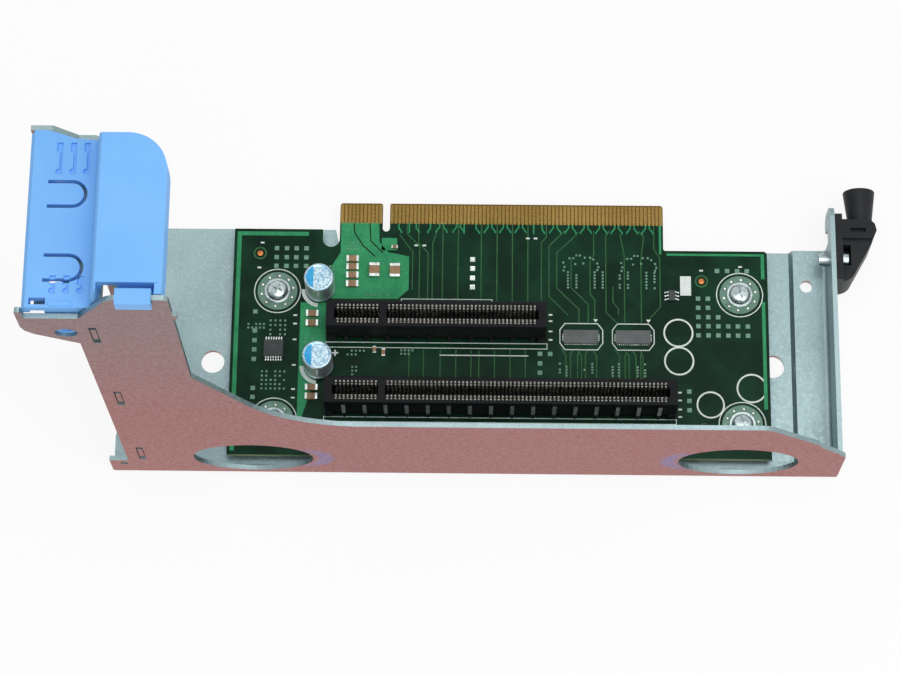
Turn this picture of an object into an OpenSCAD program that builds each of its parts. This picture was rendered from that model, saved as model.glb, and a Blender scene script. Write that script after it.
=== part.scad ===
// Riser cage bracket: a folded sheet cage with a riser board, two card slots, a hinged
// card latch at the rear and a moulded guide at the front end.
// The origin is midway between the four board screws, on the underside of the base plate.
// +X runs along the card slots to the guide end, +Y to the gold edge, +Z away from the plate.

/* [Sheet metal] */
// Thickness of every folded sheet
sheet_t = 1.2; // [1:0.1:1.4]
// Inner radius of the folds
bend_r = 1; // [0.6:0.1:1.4]
// Height of the front flange above the floor
flange_h = 42; // [38:0.5:46]
// Height of the low wall at the guide end
end_wall_h = 15; // [14:0.5:17]
// How far the strip beside the end wall is raised
strip_rise = 2; // [1.4:0.1:2.4]
// Width of the raised strip, from its step to the end wall's outer face
strip_w = 10.2; // [9:0.2:12]
// Free floor between the board's right edge and the step of the raised strip
floor_right = 6.4; // [5:0.2:8]
// Gap between the board's near edge and the flange
flange_gap = 2.4; // [1.6:0.2:4]
// Width of each finger hole in the flange
finger_w = 30; // [24:0.5:32]
// Height of each finger hole in the flange
finger_h = 21.6; // [16:0.4:23]
// Height of the finger holes' centre
finger_z = 14.6; // [14.2:0.2:16]
// Distance from the origin to the left finger hole's centre
finger_left = 63.6; // [60:0.2:66]
// Distance from the origin to the right finger hole's centre
finger_right = 57.4; // [54:0.2:60]
// Radius of the two locating holes in the base plate
locating_r = 3; // [2:0.1:3.4]
// Radius of the small hole in the raised strip
small_hole_r = 1.6; // [1:0.1:2]

/* [Card arm] */
// Distance from the board's left edge to the arm's inner edge
arm_gap = 1.9; // [1.4:0.1:3]
// Width of the arm
arm_w = 22.1; // [21:0.1:24]
// Height of the arm's top edge beside the catch
arm_h = 132; // [131:0.5:134]
// How far the arm's gusset stands out behind the slot wall
gusset_out = 14.9; // [14:0.1:16]
// Radius of the sweep from the flange up to the arm
sweep_r = 30; // [24:1:36]
// Slope of the straight part between the sweep and the arm
sweep_angle = 62; // [56:1:66]
// Distance from the arm's inner edge to the start of the sweep
sweep_out = 37.8; // [36:0.2:42]
// Width of each card bracket opening in the slot wall
bracket_open_w = 12.1; // [11:0.1:13]
// Height of the floor below the card bracket openings
bracket_sill = 13.5; // [8:0.5:16]
// Wall left between the openings and the shelf's top face
bracket_head = 13.7; // [8:0.1:16]
// Height of the card brackets' shelf above the latch pivot
shelf_rise = 7.1; // [6.6:0.1:7.3]

/* [Board] */
// Distance between the left and right board screws
screw_gap_x = 119.4; // [117:0.2:122]
// Distance between the near and far board screws
screw_gap_y = 35; // [34:0.2:36]
// Board edge beyond the left screws
edge_left = 11.6; // [9:0.1:13]
// Board edge beyond the right screws
edge_right = 7.3; // [7:0.1:8]
// Board edge beyond the near screws
edge_near = 9.1; // [8:0.1:10]
// Board edge beyond the far screws, left of the gold edge
edge_far_left = 17.15; // [15:0.05:18]
// Board edge beyond the far screws, right of the gold edge
edge_far_right = 12; // [11:0.1:13]
// Thickness of the board
board_t = 1.6; // [1.4:0.1:2]
// Height of the spacers under the board
standoff_h = 2.2; // [1.8:0.1:3]
// Length of the gold edge beyond the board's right shoulder
tab_length = 12.5; // [11:0.1:13]
// Radius of the screw shanks
screw_r = 1.5; // [1.2:0.1:1.6]
// Radius of the screw heads
screw_head_r = 2.6; // [2.3:0.1:3]

/* [Card slots] */
// Distance between the two card slots
slot_pitch = 20.32; // [19:0.01:22]
// Height of a slot housing
slot_h = 11.25; // [10:0.05:12]
// Width of a slot housing at its foot
slot_w = 7.5; // [7:0.1:8]
// Width of the card gap in a slot housing
card_gap = 1.9; // [1.7:0.05:2.1]
// Depth of the card gap
card_gap_depth = 7.6; // [6:0.1:8.4]
// Distance between neighbouring contacts
contact_pitch = 1; // [0.98:0.01:1.02]
// Contacts on each side before the key
contacts_before_key = 11; // [9:1:12]
// Contacts on each side after the key in the long slot
contacts_long = 71; // [69:1:71]
// Contacts on each side after the key in the short slot
contacts_short = 38; // [36:1:38]
// Distance from the origin to the key, towards the latch
key_left = 31.9; // [31.5:0.1:32.3]
// Distance from the origin to the long slot, towards the flange
long_slot_near = 12.6; // [12:0.1:13.2]

/* [Latch] */
// Height of the arm's top edge above the latch pivot
pivot_drop = 21.9; // [21.4:0.1:22.4]
// How far the latch pivot lies behind the slot wall
pivot_out = 5.4; // [5.2:0.1:5.6]
// Radius of the latch's pivot bosses
pivot_r = 2.42; // [2:0.02:2.6]
// Running clearance round the bosses
pivot_clear = 0.08; // [0.03:0.01:0.1]
// Thickness of the latch's moulded walls
latch_wall = 2; // [1.6:0.1:2.2]
// Height of the low cover's top above the shelf
cover_rise = 5.3; // [5.1:0.1:5.8]
// Height of the raised cover above the low cover
cover_step = 9.5; // [9:0.1:9.8]
// Clearance between the latch and the sheet beside it
latch_clear = 0.3; // [0.2:0.05:0.4]

/* [Guide] */
// Height of the funnel's axis
funnel_z = 8.8; // [8.4:0.1:9.2]
// Radius of the funnel's mouth
funnel_mouth_r = 4.1; // [3.8:0.1:4.4]
// Radius of the funnel where it leaves the block
funnel_foot_r = 3; // [2.8:0.1:3.3]
// Length of the funnel
funnel_length = 9.1; // [7:0.1:10]
// Radius of the bore that takes the guide pin
guide_bore_r = 2; // [1.6:0.05:2.2]
// Width of the guide block, measured from the end wall
guide_w = 10.8; // [10.2:0.1:11.4]
// Radius of the guide's fixing screw
guide_screw_r = 1.75; // [1.5:0.05:2]

/* [Capacitors] */
// Radius of the round capacitors
can_r = 3.8; // [3.2:0.1:4]
// Height of the round capacitors
can_h = 9.6; // [8:0.1:11]

/* [Hidden] */
eps = 0.01;
fit = 0.05;
seat = 0.3;

// Board
screw_x = screw_gap_x / 2;
screw_y = screw_gap_y / 2;
board_z = sheet_t + standoff_h;
board_top = board_z + board_t;
board_x0 = -screw_x - edge_left;
board_x1 = screw_x + edge_right;
board_y0 = -screw_y - edge_near;
board_y_left = screw_y + edge_far_left;
board_y_right = screw_y + edge_far_right;
tab_y = board_y_right + tab_length;
key_x = -key_left;
key_w = 1.9;
key_depth = 7.8;
key_gap = 3;
finger_pad_w = 0.7;
finger_pad_l = 5.2;
finger_pad_t = 0.05;
tab_margin = 0.55;
tab_x0 = key_x - key_gap / 2 - (contacts_before_key - 1) * contact_pitch - tab_margin;
tab_x1 = key_x + key_gap / 2 + (contacts_long - 1) * contact_pitch + tab_margin;
notch_w = 4.4;
tab_chamfer = 0.5;
screw_hole_r = screw_r + 0.2;
tooling_hole = [50, -18.2];
tooling_hole_r = 1.1;

// Card slots
long_slot_y = -long_slot_near;
short_slot_y = long_slot_y + slot_pitch;
slot_end_margin = 3;
slot_end_t = 2;
slot_body_w = slot_w - 0.9;
slot_rim_w = slot_w - 0.5;
slot_core_w = slot_w - 1.9;
undercut_h = 3;
key_rib = 1.7;
slot_x0 = key_x - key_gap / 2 - (contacts_before_key - 1) * contact_pitch - slot_end_margin;
contact_w = 0.5;
contact_t = 0.3;
pocket_w = 0.62;
pocket_depth = 1.6;
rib_pitch = 5.32;
rib_w = 1.2;
rib_start = 4.84;

// Cage
flange_in = board_y0 - flange_gap;
flange_out = flange_in - sheet_t;
step_x = board_x1 + floor_right;
end_out = step_x + strip_w;
end_in = end_out - sheet_t;
step_w = 0.9;
strip_z = strip_rise + sheet_t;
arm_x1 = board_x0 - arm_gap;
arm_x0 = arm_x1 - arm_w;
plate_overhang = 4.8;
plate_x0 = arm_x0 - plate_overhang;
plate_y0 = flange_in + bend_r;
plate_y_left = board_y_left + 1.3;
plate_y_mid = board_y_right - 3;
plate_y_right = board_y_right + 1;
plate_cut_x0 = tab_x0 - 1.2;
plate_cut_x1 = tab_x1 + 2.8;
plate_slot_w = 2.2;
corner_r = 3.4;
ear_h = 11;
fold_gap = 0.4;
hole_y = -0.7;
locating_out = 2.9;
locating_over = 1.2;
tongue_y = flange_in + 10.2;
tongue_r = 2;
foot_margin = 0.3;
small_hole = [3.8, 8.9];
pivot_z = arm_h - pivot_drop;
shelf_z = pivot_z + shelf_rise;
cover_low_z = shelf_z + cover_rise;
cover_high_z = cover_low_z + cover_step;
arm_slope_x = arm_x0 + 1.5;
arm_low_z = shelf_z + 2.4;
arm_nub_z = arm_low_z + 4;
arm_peak_x = arm_x1 - 11.6;

// Slot wall
wall_out = arm_x0 + 3.2;
wall_in = wall_out + sheet_t;
wall_y0 = flange_in + seat;
wall_y1 = 14.6;
ear_in = wall_y1 - sheet_t;
shelf_end = wall_out - 11.7;
ear_z0 = pivot_z - 14.1;
ear_top = pivot_z + 4.4;
ear_tip_z = shelf_z + 2.6;
bracket_offset = 4.9;
bracket_open_h = shelf_z - bracket_head - bracket_sill;
stake_h = 10.4;
stake_w = sheet_t + 0.5;
stake_tab_h = 6.4;
stake_count = 3;
stake_first_z = 17.3;
stake_last_z = shelf_z - 8.7;
stake_pitch = (stake_last_z - stake_first_z) / (stake_count - 1);
foot_w = 5.6;
foot_y0 = flange_in + 12;
rivet_r = 1.5;
rivet_head_r = 2.4;
rivet_head_h = 0.7;
rivet_x = wall_out - 3.3;
rivet_y = [-13.5, -2.5, 8.5];
gusset_x0 = wall_out - gusset_out;

// Latch
pivot_x = wall_out - pivot_out;
latch_y0 = flange_in + latch_clear;
low_y1 = ear_in - 1;
low_y_in = low_y1 - 2;
latch_y1 = low_y_in - 0.2;
low_x0 = gusset_x0 + 1.3;
step_x0 = wall_out + 1.3;
step_x1 = wall_out + 3;
high_x1 = arm_x1 - 1.4;
high_y0 = latch_y0 + 2.5;
high_y1 = low_y_in - 2.4;
high_skirt = 7.5;
high_corner_r = 8.6;
post_r = 1;
latch_ear_t = 1.7;
latch_ear_r = 4;
shoulder_r = 3.4;
boss_recess = 0.8;
boss_bore_r = 1.4;
rim_w = 1.6;
tongue_w = 7.6;
tongue_x0 = high_x1 - rim_w - 0.5 - tongue_w;
leg_t = 0.8;
clip_wall = 1.4;
clip_depth = 5.5;
catch_drop = 2.7;
catch_t = 1.1;
groove_w = 0.8;
groove_depth = 0.7;
finger_slot_l = 8.7;
finger_slot_w = 6.5;
finger_slot_x1 = wall_out - 0.6;
finger_slot_y = [latch_y0 + 26.1, latch_y0 + 9.1];
mark_y = [latch_y0 + 30.7, latch_y0 + 3.2];
mark_l = [7.4, 4.1];
mark_x = wall_out - 1.1;
mark_head = [1.3, 2.1];
mark_stem = 0.66;
mark_pitch = 3;

// Guide
guide_x0 = end_out;
guide_back_t = 1.9;
guide_y0 = board_y_right - 10.9;
guide_y1 = board_y_right + 5.8;
guide_z0 = strip_rise + 1;
guide_z1 = end_wall_h - 1;
guide_block_y0 = board_y_right + 0.6;
guide_screw_y = board_y_right - 3.7;
guide_screw_z = 9;
guide_head_r = 2.6;
guide_head_h = 1.8;
guide_pocket = 5.6;
guide_pocket_d = 2.2;
guide_slot = [4, 8];
guide_slot_y = guide_block_y0 + 1.6;
guide_slot_w = 1.2;
guide_bore_y0 = guide_block_y0 + 1.4;
guide_flare = 2.4;
funnel_x = guide_x0 + 7.2;
mouth_flare = 0.9;
lobe_y1 = board_y_right + 9.5;
lobe_y0 = board_y_right + 4.9;
lobe_z0 = 4.4;
neck_z0 = 9;

// Chips
switch_size = [9, 3.5, 0.9];
switch_at = [[18.7, 5.5], [32.1, 5.5]];
logic_size = [5.2, 4.4, 1];
logic_at = [-60.2, 1.7];
lead_pitch = 0.65;
lead_count = 7;
lead_w = 0.3;
lead_t = 0.15;
lead_reach = 1;
timer_size = [1.7, 3, 0.9];
timer_at = [42.2, 17];
timer_pitch = 0.95;
can_at = [[-48.6, 18], [-48.5, -2.9]];
can_groove_z = 1.7;
can_groove_d = 0.45;
seal_h = 0.6;
body_drop = 0.1;
// Chip capacitors: centre, then size along X, Y and Z
chip_caps = [
    [-40.4, 26.3, 3.2, 1.6, 1.2], [-40.4, 24.1, 3.2, 1.6, 1.2],
    [-40.4, 21.8, 3.2, 1.6, 1.2], [-40.4, 19.4, 3.2, 1.6, 1.2],
    [-34.7, 23.1, 2.6, 3.6, 1.8], [-29.4, 23, 2.6, 3.6, 1.8],
    [-50.5, 11.2, 3.2, 1.6, 1.2], [-50.5, 8.6, 3.2, 1.6, 1.2],
    [-50.2, -8.8, 3.2, 1.6, 1.2], [-50.2, -11.2, 3.2, 1.6, 1.2],
    [-34.3, 1.6, 0.9, 1.8, 0.8], [-32, 0.9, 0.9, 2, 0.8],
    [-29.6, 29.8, 1.6, 0.8, 0.7]];

function arc(cx, cy, r, a0, a1, n) =
    [for (i = [0:n]) [cx + r * cos(a0 + (a1 - a0) * i / n), cy + r * sin(a0 + (a1 - a0) * i / n)]];

function oval(cx, cy, rx, ry, n) =
    [for (i = [0:n - 1]) [cx + rx * cos(360 * i / n), cy + ry * sin(360 * i / n)]];

function contact_x(after) =
    concat([for (i = [0:contacts_before_key - 1]) key_x - key_gap / 2 - i * contact_pitch],
           [for (i = [0:after - 1]) key_x + key_gap / 2 + i * contact_pitch]);

function slot_x1(after) = key_x + key_gap / 2 + (after - 1) * contact_pitch + slot_end_margin;

// Turns an outline drawn in X and Z into a plate between y0 and y1
module front_plate(y0, y1) {
    translate([0, y1, 0])
        rotate([90, 0, 0])
            linear_extrude(y1 - y0)
                children();
}

// Turns an outline drawn in Y and Z into a plate between x0 and x1
module side_plate(x0, x1) {
    translate([x0, 0, 0])
        rotate([90, 0, 90])
            linear_extrude(x1 - x0)
                children();
}

// Turns an outline drawn in X and Y into a plate between z0 and z1
module flat_plate(z0, z1) {
    translate([0, 0, z0])
        linear_extrude(z1 - z0)
            children();
}

module box(x0, x1, y0, y1, z0, z1) {
    translate([x0, y0, z0])
        cube([x1 - x0, y1 - y0, z1 - z0]);
}

// Quarter ring of sheet in the plane, its centre at the origin, in the lower left quarter
module fold() {
    intersection() {
        difference() {
            circle(r = bend_r + sheet_t, $fn = 48);
            circle(r = bend_r, $fn = 48);
        }
        translate([-bend_r - sheet_t, -bend_r - sheet_t])
            square(bend_r + sheet_t);
    }
}

// ---- Cage ----

// Outline of the flange, the sweep and the arm, in X and Z
module flange_outline() {
    sweep_x = arm_x1 + sweep_out;
    sweep_end = [sweep_x - sweep_r * sin(sweep_angle), flange_h + sweep_r * (1 - cos(sweep_angle))];
    knee_z = sweep_end[1] + (sweep_end[0] - arm_x1) * tan(sweep_angle);
    polygon(concat(
        arc(plate_x0 + corner_r, corner_r, corner_r, 180, 270, 8),
        arc(end_out - corner_r, corner_r, corner_r, 270, 360, 8),
        [[end_out, end_wall_h + 4.6], [end_out - 2.4, end_wall_h + 8],
         [end_out - 6.8, flange_h - 14.4], [end_out - 7.6, flange_h - 12.2]],
        arc(end_out - 22.8, flange_h - 5, 5, 48, 90, 5),
        arc(sweep_x, flange_h + sweep_r, sweep_r, 270, 270 - sweep_angle, 14),
        [[arm_x1, knee_z], [arm_x1, arm_low_z], [arm_x1 + 0.9, arm_low_z + 0.5],
         [arm_x1 + 0.9, arm_low_z + 2], [arm_x1, arm_low_z + 2.6]],
        arc(arm_x1 - 1.5, arm_h - 1.5, 1.5, 0, 90, 4),
        arc(arm_peak_x + 1, arm_h - 4, 4, 90, 148, 4),
        [[arm_slope_x, arm_low_z], [gusset_x0 + 1.6, arm_low_z]],
        [[gusset_x0 + 1.6, arm_nub_z - 0.6]],
        arc(gusset_x0 + 0.8, arm_nub_z - 0.8, 0.8, 60, 180, 4),
        [[gusset_x0, arm_low_z - 5.8], [gusset_x0 + 0.6, arm_low_z - 8.2],
         [gusset_x0 + 2.4, arm_low_z - 10.4], [arm_x0, arm_low_z - 16.6],
         [arm_x0, ear_h], [plate_x0, ear_h]]));
}

// Section through the flange, its fold and the edge of the base plate, in Y and Z
module flange_section() {
    translate([flange_out, sheet_t + bend_r])
        square([sheet_t, arm_h]);
    translate([plate_y0, sheet_t + bend_r])
        fold();
    translate([plate_y0 - eps, 0])
        square([1 + eps, sheet_t]);
}

module flange() {
    difference() {
        intersection() {
            side_plate(gusset_x0 - 1, step_x)
                flange_section();
            front_plate(flange_out - 1, plate_y0 + 1)
                flange_outline();
        }
        finger_holes();
    }
    difference() {
        intersection() {
            box(step_x - eps, end_out, flange_out, flange_in, strip_rise, arm_h);
            front_plate(flange_out - 1, plate_y0 + 1)
                flange_outline();
        }
        finger_holes();
    }
}

module finger_holes() {
    for (x = [-finger_left, finger_right])
        front_plate(flange_out - 1, flange_in + 1)
            polygon(oval(x, finger_z, finger_w / 2, finger_h / 2, 48));
}

// Outline of the base plate in X and Y, up to the step of the raised strip
module plate_outline() {
    polygon(concat([
        [plate_x0, plate_y0], [step_x, plate_y0], [step_x, plate_y_right],
        [plate_cut_x1, plate_y_right], [plate_cut_x1 - 2, plate_y_mid],
        [plate_cut_x0 + 2, plate_y_mid], [plate_cut_x0, plate_y_left],
        [wall_out - 2, plate_y_left], [wall_out - 2, wall_y1 + 2],
        [wall_out - foot_w - foot_margin, wall_y1 + 2], [wall_out - foot_w - foot_margin, tongue_y]],
        arc(plate_x0 + tongue_r, tongue_y - tongue_r, tongue_r, 90, 180, 6)));
}

// The step, the raised strip and the end wall, in X and Z
module strip_section() {
    polygon([
        [step_x - eps, 0], [step_x, 0], [step_x + step_w, strip_rise],
        [end_out - sheet_t - bend_r, strip_rise], [end_out - sheet_t - bend_r, strip_z],
        [step_x + step_w - 0.4, strip_z], [step_x - 0.4, sheet_t], [step_x - 0.4, sheet_t - 0.4]]);
    translate([end_out - sheet_t - bend_r, strip_z + bend_r])
        mirror([1, 0])
            fold();
    translate([end_in, strip_z + bend_r])
        square([sheet_t, end_wall_h - strip_z - bend_r]);
}

module strip() {
    front_plate(flange_in + fold_gap, plate_y_right)
        strip_section();
}

// The end wall's rounded lobe beyond the base plate, in Y and Z
module end_lobe() {
    side_plate(end_in, end_out)
        polygon(concat(
            [[plate_y_right - eps, neck_z0], [lobe_y0 - 0.6, neck_z0], [lobe_y0, neck_z0 - 0.6]],
            arc(lobe_y0 + 1.2, lobe_z0 + 1.2, 1.2, 180, 270, 4),
            arc(lobe_y1 - 2.6, lobe_z0 + 2.6, 2.6, 270, 360, 6),
            arc(lobe_y1 - 3.4, end_wall_h - 3.4, 3.4, 0, 90, 8),
            [[plate_y_right - eps, end_wall_h]]));
}

module cage() {
    color([0.68, 0.72, 0.72])
        difference() {
            union() {
                flange();
                flat_plate(0, sheet_t)
                    plate_outline();
                strip();
                end_lobe();
            }
            for (x = [-1, 1], y = [-1, 1])
                translate([x * screw_x, y * screw_y, -1])
                    cylinder(r = screw_r + 0.7 + fit, h = sheet_t + 2, $fn = 32);
            for (x = [arm_x1 - locating_out, board_x1 + locating_over])
                translate([x, hole_y, -1])
                    cylinder(r = locating_r, h = sheet_t + 2, $fn = 48);
            translate([step_x + small_hole[0], board_y_right - small_hole[1], -1])
                cylinder(r = small_hole_r, h = strip_z + 2, $fn = 32);
            for (y = rivet_y)
                translate([rivet_x, y, -1])
                    cylinder(r = rivet_r + fit, h = sheet_t + 2, $fn = 32);
            for (y = [long_slot_y, short_slot_y])
                box(wall_in + fit, wall_in + plate_slot_w, y - bracket_offset - 6,
                    y - bracket_offset + 6, -1, sheet_t + 1);
            for (i = [0:stake_count - 1])
                box(wall_out - 0.2, wall_out - 0.2 + stake_w, flange_out - 1, flange_in + 1,
                    stake_first_z + i * stake_pitch - stake_h / 2,
                    stake_first_z + i * stake_pitch + stake_h / 2);
            translate([pivot_x, flange_in + 1, pivot_z])
                rotate([90, 0, 0])
                    cylinder(r = pivot_r + pivot_clear, h = sheet_t + 2, $fn = 48);
            translate([end_in - 1, guide_screw_y, guide_screw_z])
                rotate([0, 90, 0])
                    cylinder(r = guide_screw_r + fit, h = sheet_t + 2, $fn = 32);
            translate([plate_x0 + 3.5, flange_in + 1, ear_h - 2.6])
                rotate([90, 0, 0])
                    cylinder(r = 0.9, h = sheet_t + 2, $fn = 24);
        }
}

// ---- Slot wall ----

module wall_face() {
    bottom = 2 * sheet_t + bend_r;
    difference() {
        box(wall_out, wall_in, wall_y0, wall_y1 - sheet_t - bend_r, bottom, shelf_z - sheet_t - bend_r);
        for (y = [long_slot_y, short_slot_y])
            box(wall_out - 1, wall_in + 1, y - bracket_offset - bracket_open_w / 2,
                y - bracket_offset + bracket_open_w / 2, bracket_sill, bracket_sill + bracket_open_h);
    }
}

// The far ear carries the second pivot of the latch
module far_ear() {
    difference() {
        front_plate(ear_in, wall_y1)
            polygon([
                [wall_out - bend_r + eps, ear_z0], [wall_out - bend_r + eps, ear_top],
                [pivot_x + 1, ear_top], [pivot_x - 4, ear_tip_z],
                [gusset_x0 + 0.6, ear_tip_z], [gusset_x0 + 0.6, pivot_z + 4],
                [gusset_x0 + 2.6, pivot_z - 0.8]]);
        translate([pivot_x, wall_y1 + 1, pivot_z])
            rotate([90, 0, 0])
                cylinder(r = pivot_r + pivot_clear, h = sheet_t + 2, $fn = 48);
    }
}

module slot_wall() {
    shelf_y0 = wall_y0 + latch_ear_t + 0.7;
    shelf_y1 = latch_y1 - latch_ear_t - 0.4;
    fold_x = wall_out - bend_r;
    color([0.66, 0.7, 0.7])
        difference() {
            union() {
                wall_face();
                // Shelf with its fold
                front_plate(shelf_y0, shelf_y1)
                    translate([fold_x, shelf_z - sheet_t - bend_r])
                        mirror([1, 0])
                            mirror([0, 1])
                                fold();
                box(shelf_end, fold_x + eps, shelf_y0, shelf_y1, shelf_z - sheet_t, shelf_z);
                // Foot with its fold
                front_plate(foot_y0, wall_y1 - sheet_t - bend_r)
                    translate([fold_x, 2 * sheet_t + bend_r])
                        mirror([1, 0])
                            fold();
                box(wall_out - foot_w, fold_x + eps, foot_y0, wall_y1 - sheet_t - bend_r,
                    sheet_t, 2 * sheet_t);
                // Far ear with its fold
                flat_plate(ear_z0, ear_top)
                    translate([fold_x, ear_in - bend_r])
                        mirror([1, 0])
                            mirror([0, 1])
                                fold();
                far_ear();
                // Tabs staked in the arm
                for (i = [0:stake_count - 1])
                    box(wall_out, wall_in, flange_out + 0.2, wall_y0 + eps,
                        stake_first_z + i * stake_pitch - stake_tab_h / 2,
                        stake_first_z + i * stake_pitch + stake_tab_h / 2);
            }
            // Screw notches of the card brackets
            for (y = [long_slot_y, short_slot_y])
                translate([shelf_end + 4.2, y - bracket_offset - 4, shelf_z - sheet_t - 1])
                    cylinder(r = 1.6, h = sheet_t + 2, $fn = 32);
            for (y = rivet_y)
                translate([rivet_x, y, 0])
                    cylinder(r = rivet_r + fit, h = 3 * sheet_t, $fn = 32);
        }
}

module wall_rivets() {
    color([0.8, 0.8, 0.8])
        for (y = rivet_y)
            translate([rivet_x, y, 0])
                rotate_extrude($fn = 32)
                    polygon(concat(
                        [[0, 0.1], [rivet_r, 0.1], [rivet_r, 2 * sheet_t], [rivet_head_r, 2 * sheet_t]],
                        [[rivet_head_r, 2 * sheet_t + rivet_head_h * 0.4],
                         [rivet_head_r * 0.7, 2 * sheet_t + rivet_head_h * 0.9],
                         [0, 2 * sheet_t + rivet_head_h]]));
}

// ---- Latch ----

// Section of the two covers and the sloping step between them, in X and Z
module cover_section() {
    low_in = cover_low_z - latch_wall;
    high_in = cover_high_z - latch_wall;
    side_t = latch_wall * 0.8;
    skirt_z = cover_high_z - high_skirt;
    polygon([
        [low_x0, cover_low_z - 0.8], [low_x0 + 0.8, cover_low_z],
        [step_x0 - 0.5, cover_low_z], [step_x0, cover_low_z + 0.5],
        [step_x1 - 0.4, cover_high_z - 0.6], [step_x1 + 0.2, cover_high_z],
        [high_x1 - 0.8, cover_high_z], [high_x1, cover_high_z - 0.8],
        [high_x1, skirt_z], [high_x1 - side_t, skirt_z], [high_x1 - side_t, high_in],
        [step_x1 + side_t, high_in], [step_x0 + side_t, low_in], [low_x0 + side_t, low_in],
        [low_x0 + side_t, low_in - 1.2], [low_x0, low_in - 1.2]]);
}

// Plan of the latch's covers, with the big rounded corner; inset leaves out the outer wall
module cover_plan(inset = 0) {
    polygon(concat(
        [[low_x0, latch_y0]],
        arc(step_x1 + 0.5 - post_r, latch_y0 + post_r, post_r, 270, 360, 4),
        [[step_x1 + 0.5, high_y0], [high_x1 - inset, high_y0]],
        arc(high_x1 - high_corner_r, high_y1 - high_corner_r, high_corner_r - inset, 0, 90, 12),
        [[step_x0 + 0.4, high_y1 - inset], [step_x0 + 0.4, low_y_in - 0.4], [pivot_x + 1.6, low_y_in],
         [pivot_x - 3.8, low_y1 - 0.2], [low_x0 + 1, low_y1], [low_x0, low_y1 - 1]]));
}

// Slot in the shape of a U that frees a spring finger in the low cover
module finger_slot(y) {
    mid_x = finger_slot_x1 - finger_slot_w / 2;
    end_x = finger_slot_x1 - finger_slot_l;
    difference() {
        hull() {
            translate([mid_x, y])
                circle(r = finger_slot_w / 2, $fn = 32);
            translate([end_x, y - finger_slot_w / 2])
                square([eps, finger_slot_w]);
        }
        hull() {
            translate([mid_x, y])
                circle(r = finger_slot_w / 2 - groove_w, $fn = 32);
            translate([end_x - 1, y - finger_slot_w / 2 + groove_w])
                square([eps, finger_slot_w - 2 * groove_w]);
        }
    }
}

// Short moulded mark: a stem with a wide head and a round foot
module cover_mark(length) {
    translate([-mark_head[0] / 2, length - mark_head[1]])
        square(mark_head);
    square([mark_stem, length]);
    translate([-0.1, mark_head[0] / 2])
        circle(r = mark_head[0] / 2, $fn = 24);
}

module latch_ear(y0, y1) {
    low_in = cover_low_z - latch_wall;
    front_plate(y0, y1)
        hull() {
            translate([pivot_x, pivot_z])
                circle(r = latch_ear_r, $fn = 32);
            translate([pivot_x - latch_ear_r + 0.6, low_in - eps])
                square([2 * latch_ear_r + 0.6, eps]);
        }
    front_plate(y0, y1)
        translate([pivot_x - latch_ear_r + 0.6, low_in - eps])
            square([2 * latch_ear_r + 0.6, 1]);
}

module pivot_cylinder(r, y0, y1) {
    translate([pivot_x, y1, pivot_z])
        rotate([90, 0, 0])
            cylinder(r = r, h = y1 - y0, $fn = 48);
}

// A leaf drops from the raised cover, turns up inside the arm and hooks over its top edge, in Y and Z
module clip_section() {
    clip_z = cover_high_z - clip_depth;
    hook_low = arm_h + latch_clear;
    hook_top = hook_low + catch_t;
    lip_in = flange_out - latch_clear;
    lip_out = lip_in - catch_t;
    outer_r = (high_y0 + clip_wall - latch_y0) / 2;
    inner_r = (high_y0 - latch_y0 - leg_t) / 2;
    polygon(concat(
        [[high_y0 + clip_wall, cover_high_z - 0.4]],
        arc(latch_y0 + outer_r, clip_z, outer_r, 0, -180, 12),
        [[latch_y0, hook_low], [lip_in, hook_low], [lip_in, arm_h - catch_drop],
         [lip_in - 0.3, arm_h - catch_drop - 0.3], [lip_out, arm_h - catch_drop + 0.5]],
        arc(lip_out + 0.5, hook_top - 0.5, 0.5, 180, 90, 3),
        arc(latch_y0 + leg_t - 0.4, hook_top - 0.4, 0.4, 90, 0, 3),
        arc(high_y0 - inner_r, clip_z, inner_r, 180, 360, 10),
        [[high_y0, cover_high_z - 0.4]]));
}

module latch_shell() {
    high_in = cover_high_z - latch_wall;
    skirt_z = cover_high_z - high_skirt;
    side_t = latch_wall * 0.8;
    intersection() {
        front_plate(latch_y0, low_y1 + 1)
            cover_section();
        flat_plate(skirt_z - 10, cover_high_z + 1)
            cover_plan();
    }
    // Skirt of the raised cover along its rounded corner
    difference() {
        flat_plate(skirt_z, high_in + eps)
            intersection() {
                cover_plan();
                translate([step_x1 + 1, 0])
                    square([high_x1 - step_x1, high_y1 + 1]);
            }
        flat_plate(skirt_z - 1, high_in + 1)
            cover_plan(side_t);
    }
    // Right rim of the raised cover, carried forward to the arm
    box(high_x1 - rim_w, high_x1, latch_y0, high_y0 + eps, skirt_z, cover_high_z - 0.3);
}

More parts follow.
